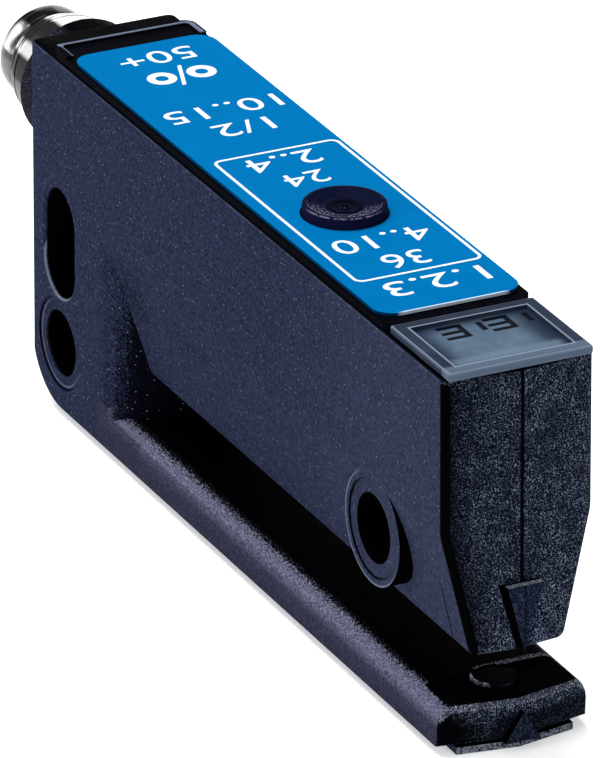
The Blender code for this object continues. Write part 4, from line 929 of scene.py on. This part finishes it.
def nickel_finish():
    """Nickel-plated turned brass with dark and bright bands of painted reflection and fine tool
    marks round its axis.
    """
    finish = Finish("connector_nickel", (0.72, 0.70, 0.66), 0.2, metallic=1.0, specular=0.05)
    low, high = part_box("connector_shell")
    along = finish.at("X")
    angle = finish.math("ARCTAN2", finish.away("Z", (low.z + high.z) / 2), finish.at("Y"))
    angle = finish.math("WRAP", angle, math.tau)
    outer_edge = finish.between(along, low.x + 0.95 * MM, low.x + 0.45 * MM)
    # The bands on the lip and the body are painted reflections; where they are dark the metal turns
    # plain dark.
    lip = finish.blend(
        finish.product(outer_edge, 0.75), reflection_by_angle(finish, angle, SHELL_LIP_REFLECTIONS), 0.16
    )
    behind = finish.between(along, low.x + 1.9 * MM, low.x + 2.1 * MM)
    tone = finish.blend(behind, lip, reflection_by_angle(finish, angle, SHELL_BODY_REFLECTIONS))
    stretched = finish.node("ShaderNodeCombineXYZ", X=along, Y=0.0, Z=0.0).outputs["Vector"]
    rings = finish.node("ShaderNodeTexNoise", Vector=stretched, Scale=1.0 / (0.12 * MM), Detail=3.0)
    cloud = finish.noise(1.4 * MM, 3.0)
    bright = finish.mix(cloud, (0.84, 0.83, 0.80), (0.96, 0.955, 0.95))
    return finish.set(
        Base_Color=finish.mix(tone, (0.0035, 0.0035, 0.0050), bright),
        Metallic=finish.between(tone, 0.0, 0.08),
        Roughness=finish.between(cloud, 0.3, 0.7, 0.16, 0.24),
        Normal=finish.bump(rings.outputs["Fac"], 0.0015 * MM),
    )


def lens_finish():
    """Dark red glossy lens plastic."""
    finish = Finish("lens_plastic", (0.003, 0.002, 0.003), 0.2, specular=0.002)
    cloud = finish.noise(0.8 * MM, 2.0)
    colour = finish.mix(cloud, (0.002, 0.001, 0.002), (0.006, 0.002, 0.003))
    return finish.set(Base_Color=colour, Normal=finish.bump(cloud, 0.004 * MM))


def plain_finish(name, dark, light, roughness, lump, depth, metallic):
    """A small inner part: two close tones, fine grain and an uneven gloss."""
    finish = Finish(name, light, roughness, metallic=metallic)
    grain = finish.noise(lump * MM / 4, 2.0)
    return finish.set(
        Base_Color=finish.mix(finish.noise(lump * MM, 3.0), dark, light),
        Roughness=finish.between(grain, 0.3, 0.7, roughness * 0.85, min(1.0, roughness * 1.2)),
        Normal=finish.bump(grain, depth * MM, finish.rounded(0.04 * MM)),
    )


# Pieces


def dress_nodes(finishes):
    """Gives every CAD node the finish of its record slot."""
    for obj in NODES.values():
        for slot in obj.material_slots:
            slot.material = finishes[slot.material.name.split(".")[0]]


def make_housing(finishes):
    """The housing with smooth round faces and the collar as narrow as the photograph shows it."""
    housing = smooth_copy("housing", "housing_shell")
    low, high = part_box("connector_shell")
    axis = Vector((0.0, (low.z + high.z) / 2))
    for vertex in housing.data.vertices:
        away = Vector((vertex.co.y, vertex.co.z)) - axis
        if vertex.co.x < REAR_X + WELD and abs(away.length - COLLAR_RADIUS) < 0.1 * MM:
            vertex.co.yz = axis + away * COLLAR_SHRINK
    return finish_piece(housing, finishes["housing_plastic"], "housing_plastic", "housing")


def make_cover(finishes):
    """The lid with smooth round faces."""
    cover = smooth_copy("top_cover", "cover_shell")
    return finish_piece(cover, finishes["cover_plastic"], "cover_plastic", "top_cover")


def make_connector(finishes):
    """The turned shell with fine grooves, closed all round, on the CAD shell's own axis."""
    low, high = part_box("connector_shell")
    axis_z = (low.z + high.z) / 2
    profile = [(radius * MM, distance * MM) for radius, distance in SHELL_PROFILE]
    length = high.x - low.x
    neck = [(SHELL_NECK, length), (SHELL_BORE, length), (SHELL_BORE, SHELL_MOUTH)]
    outline = profile + neck + profile[:1]
    shell = lathe("shell_turned", outline, (low.x, 0.0, axis_z), "X", SHELL_STEPS)
    material = finishes["connector_nickel"]
    return finish_piece(shell, material, "connector_nickel", "connector_shell")


def make_button(finishes):
    """The dished button with its fine rings, flange and stem, on the button's own body."""
    low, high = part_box("teach_button")
    x = (low.x + high.x) / 2
    profile = [(radius * MM, -drop * MM) for radius, drop in BUTTON_PROFILE]
    height = high.z - low.z
    flange = (high.x - low.x) / 2
    under = BUTTON_FLANGE_DROP + BUTTON_FLANGE_HEIGHT
    profile += [
        (profile[-1][0], -BUTTON_FLANGE_DROP),
        (flange, -BUTTON_FLANGE_DROP),
        (flange, -under),
        (BUTTON_STEM, -under),
        (BUTTON_STEM, -height),
        (0.0, -height),
    ]
    button = lathe("button_cap", profile, (x, 0.0, high.z), "Z", BUTTON_STEPS, "button")
    return finish_piece(button, finishes["button_plastic"], "button_plastic", "teach_button")


def make_label(finishes):
    """The foil with its round corners and the hole for the button."""
    low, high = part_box("label_plate")
    button_low, button_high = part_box("teach_button")
    centre = ((button_low.x + button_high.x) / 2, 0.0)
    outline = rounded_loop((low.x, low.y), (high.x, high.y), LABEL_CORNER, LABEL_CORNER_STEPS)
    shape = bmesh.new()
    for loop in (outline, circle_loop(centre, LABEL_HOLE, LABEL_HOLE_STEPS)):
        points = [shape.verts.new((x, y, low.z)) for x, y in loop]
        for point, after in zip(points, points[1:] + points[:1]):
            shape.edges.new((point, after))
    bmesh.ops.triangle_fill(shape, use_beauty=True, use_dissolve=False, edges=list(shape.edges))
    made = bmesh.ops.extrude_face_region(shape, geom=list(shape.faces))
    raised = [item for item in made["geom"] if isinstance(item, bmesh.types.BMVert)]
    bmesh.ops.translate(shape, verts=raised, vec=(0.0, 0.0, high.z - low.z))
    bmesh.ops.recalc_face_normals(shape, faces=shape.faces)
    mesh = bpy.data.meshes.new("label_foil")
    shape.to_mesh(mesh)
    shape.free()
    mesh.shade_smooth()
    mesh.set_sharp_from_angle(angle=SMOOTH_ANGLE)
    label = link(bpy.data.objects.new("label_foil", mesh))
    return finish_piece(label, finishes["label_film"], "label_film", "label_plate")


def text_mesh(text, height, left, right, base_x, z):
    """Raised characters that fill a row: up is +X and the reading direction is -Y."""
    curve = bpy.data.curves.new("row", "FONT")
    curve.body = text
    curve.resolution_u = 6
    temporary = bpy.data.objects.new("row", curve)
    bpy.context.scene.collection.objects.link(temporary)
    bpy.context.view_layer.update()
    mesh = bpy.data.meshes.new_from_object(
        temporary.evaluated_get(bpy.context.evaluated_depsgraph_get())
    )
    bpy.data.objects.remove(temporary)
    bpy.data.curves.remove(curve)
    xs = [vertex.co.x for vertex in mesh.vertices]
    ys = [vertex.co.y for vertex in mesh.vertices]
    wide = (left - right) / (max(xs) - min(xs))
    tall = height / (max(ys) - min(ys))
    for vertex in mesh.vertices:
        x = base_x + (vertex.co.y - min(ys)) * tall
        y = left - (vertex.co.x - min(xs)) * wide
        vertex.co = (x, y, z)
    return mesh


def rounded_loop(low, high, radius, steps=6):
    """The points of a rectangle with round corners, in the XY plane."""
    corners = [
        (high[0] - radius, high[1] - radius, 0),
        (low[0] + radius, high[1] - radius, 90),
        (low[0] + radius, low[1] + radius, 180),
        (high[0] - radius, low[1] + radius, 270),
    ]
    points = []
    for x, y, start in corners:
        for step in range(steps + 1):
            angle = math.radians(start + 90 * step / steps)
            points.append((x + radius * math.cos(angle), y + radius * math.sin(angle)))
    return points


def circle_loop(centre, radius, steps=48):
    points = []
    for step in range(steps):
        angle = math.tau * step / steps
        points.append((centre[0] + radius * math.cos(angle), centre[1] + radius * math.sin(angle)))
    return points


def add_band(shape, outer, inner, z):
    """A flat band between two loops with as many points."""
    outside = [shape.verts.new((x, y, z)) for x, y in outer]
    inside = [shape.verts.new((x, y, z)) for x, y in inner]
    count = len(outer)
    for index in range(count):
        after = (index + 1) % count
        shape.faces.new([outside[index], outside[after], inside[after], inside[index]])


def make_print(finishes):
    """All print on the label as one thin raised piece."""
    label_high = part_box("label_plate")[1]
    front = label_high.x
    z = label_high.z
    shape = bmesh.new()
    for text, behind, height, left, right in PRINT_ROWS:
        mesh = text_mesh(text, height * MM, left * MM, right * MM, front - behind * MM, z)
        shape.from_mesh(mesh)
        bpy.data.meshes.remove(mesh)
    line = FRAME_LINE
    low = (front - FRAME_REAR, FRAME_RIGHT)
    high = (front - FRAME_FRONT, FRAME_LEFT)
    outer = rounded_loop(low, high, FRAME_CORNER)
    inner = rounded_loop(
        (low[0] + line, low[1] + line), (high[0] - line, high[1] - line), FRAME_CORNER - line
    )
    add_band(shape, outer, inner, z)
    sign_x = front - SIGN_BEHIND
    for y in (SIGN_LEFT, SIGN_RIGHT):
        add_band(
            shape, circle_loop((sign_x, y), SIGN_RADIUS), circle_loop((sign_x, y), SIGN_HOLE), z
        )
    add_slash(shape, sign_x, (SIGN_LEFT + SIGN_RIGHT) / 2, z)
    return raise_print(shape, finishes)


def add_slash(shape, x, y, z):
    corners = []
    for end, side in ((-1, -1), (-1, 1), (1, 1), (1, -1)):
        along = end * SLASH_HALF_LENGTH
        across = side * SLASH_HALF_WIDTH - along * SLASH_LEAN
        corners.append(shape.verts.new((x + along, y + across, z)))
    shape.faces.new(corners)


def raise_print(shape, finishes):
    """Turns the flat print into a closed piece that stands on the label."""
    bmesh.ops.recalc_face_normals(shape, faces=shape.faces)
    for face in shape.faces:
        if face.normal.z < 0:
            face.normal_flip()
    made = bmesh.ops.extrude_face_region(shape, geom=list(shape.faces))
    raised = [item for item in made["geom"] if isinstance(item, bmesh.types.BMVert)]
    bmesh.ops.translate(shape, verts=raised, vec=(0.0, 0.0, PRINT_RISE))
    bmesh.ops.recalc_face_normals(shape, faces=shape.faces)
    mesh = bpy.data.meshes.new("label_print")
    shape.to_mesh(mesh)
    shape.free()
    obj = link(bpy.data.objects.new("label_print", mesh))
    return finish_piece(obj, finishes["label_print"], "label_film")


# Stage, light and camera


def make_floor():
    """A plain pale floor under the part."""
    finish = Finish("floor", (0.86, 0.87, 0.88), 0.9, specular=0.1)
    material = finish.set(Emission_Color=(1.0, 1.0, 1.0), Emission_Strength=FLOOR_GLOW)
    mesh = bpy.data.meshes.new("floor")
    signs = ((-1, -1), (1, -1), (1, 1), (-1, 1))
    corners = [(x * FLOOR_HALF, y * FLOOR_HALF, 0.0) for x, y in signs]
    mesh.from_pydata(corners, [], [[0, 1, 2, 3]])
    mesh.materials.append(material)
    floor = bpy.data.objects.new("floor", mesh)
    bpy.context.scene.collection.objects.link(floor)
    floor.location.z = -FLOOR_DROP


def make_world():
    """A studio that is dark towards the horizon and bright overhead."""
    world = bpy.data.worlds.new("studio")
    world.use_nodes = True
    tree = world.node_tree
    background = tree.nodes["Background"]
    place = tree.nodes.new("ShaderNodeTexCoord")
    parts = tree.nodes.new("ShaderNodeSeparateXYZ")
    ramp = tree.nodes.new("ShaderNodeMapRange")
    ramp.interpolation_type = "SMOOTHSTEP"
    ramp.inputs["From Min"].default_value = SKY_DARK_HEIGHT
    ramp.inputs["From Max"].default_value = SKY_BRIGHT_HEIGHT
    ramp.inputs["To Min"].default_value = SKY_DARK_SHARE * SKY_STRENGTH
    ramp.inputs["To Max"].default_value = SKY_STRENGTH
    tree.links.new(place.outputs["Generated"], parts.inputs["Vector"])
    tree.links.new(parts.outputs["Z"], ramp.inputs["Value"])
    tree.links.new(ramp.outputs["Result"], background.inputs["Strength"])
    background.inputs["Color"].default_value = (0.93, 0.96, 1.0, 1.0)
    bpy.context.scene.world = world


def area_light(name, position, size, power, target):
    data = bpy.data.lights.new(name, "AREA")
    data.shape = "RECTANGLE"
    data.size, data.size_y = size
    data.energy = power
    light = bpy.data.objects.new(name, data)
    light.location = position
    way = Vector(target) - Vector(position)
    light.rotation_euler = way.to_track_quat("-Z", "Y").to_euler()
    bpy.context.scene.collection.objects.link(light)


def make_lights():
    """Three soft lights, and two cards that the metal mirrors."""
    for name, position, size, power in LIGHTS:
        area_light(name, position, size, power, LIGHT_TARGET)
    low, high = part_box("connector_shell")
    metal = (low + high) / 2
    for name, offset, size, power in CARDS:
        area_light(name, metal + Vector(offset), size, power, metal)


def make_camera():
    """Looks at the part from the photograph's angle, distance and framing."""
    sin_a, cos_a = math.sin(CAMERA_AZIMUTH), math.cos(CAMERA_AZIMUTH)
    sin_e, cos_e = math.sin(CAMERA_ELEVATION), math.cos(CAMERA_ELEVATION)
    towards = Vector((sin_a * cos_e, -cos_a * cos_e, sin_e))
    level_right = Vector((cos_a, sin_a, 0.0))
    level_up = towards.cross(level_right)
    sin_r, cos_r = math.sin(CAMERA_ROLL), math.cos(CAMERA_ROLL)
    right = level_right * cos_r + level_up * sin_r
    up = level_up * cos_r - level_right * sin_r
    corner = Vector((FRONT_X, 0.0, TOP_Z))
    aim = corner - right * AIM_LEFT - up * AIM_DOWN
    data = bpy.data.cameras.new("camera")
    data.lens = CAMERA_LENS
    data.sensor_width = CAMERA_SENSOR
    data.clip_start = CAMERA_CLIP
    camera = bpy.data.objects.new("camera", data)
    turn = Matrix((right, up, towards)).transposed().to_4x4()
    camera.matrix_world = Matrix.Translation(aim + towards * CAMERA_DISTANCE) @ turn
    bpy.context.scene.collection.objects.link(camera)
    bpy.context.scene.camera = camera


FINISHES = {
    "housing_plastic": housing_finish(),
    "cover_plastic": cover_finish(),
    "label_film": label_finish(),
    "label_print": print_finish(),
    "button_plastic": button_finish(),
    "window_plastic": window_finish(),
    "lens_plastic": lens_finish(),
    "connector_nickel": nickel_finish(),
}
for slot_name, recipe in INNER_FINISHES.items():
    FINISHES[slot_name] = plain_finish(slot_name, *recipe)

bpy.context.scene.view_settings.view_transform = "Standard"
dress_nodes(FINISHES)
make_housing(FINISHES)
make_cover(FINISHES)
make_label(FINISHES)
make_connector(FINISHES)
make_button(FINISHES)
make_print(FINISHES)
make_floor()
make_world()
make_lights()
make_camera()
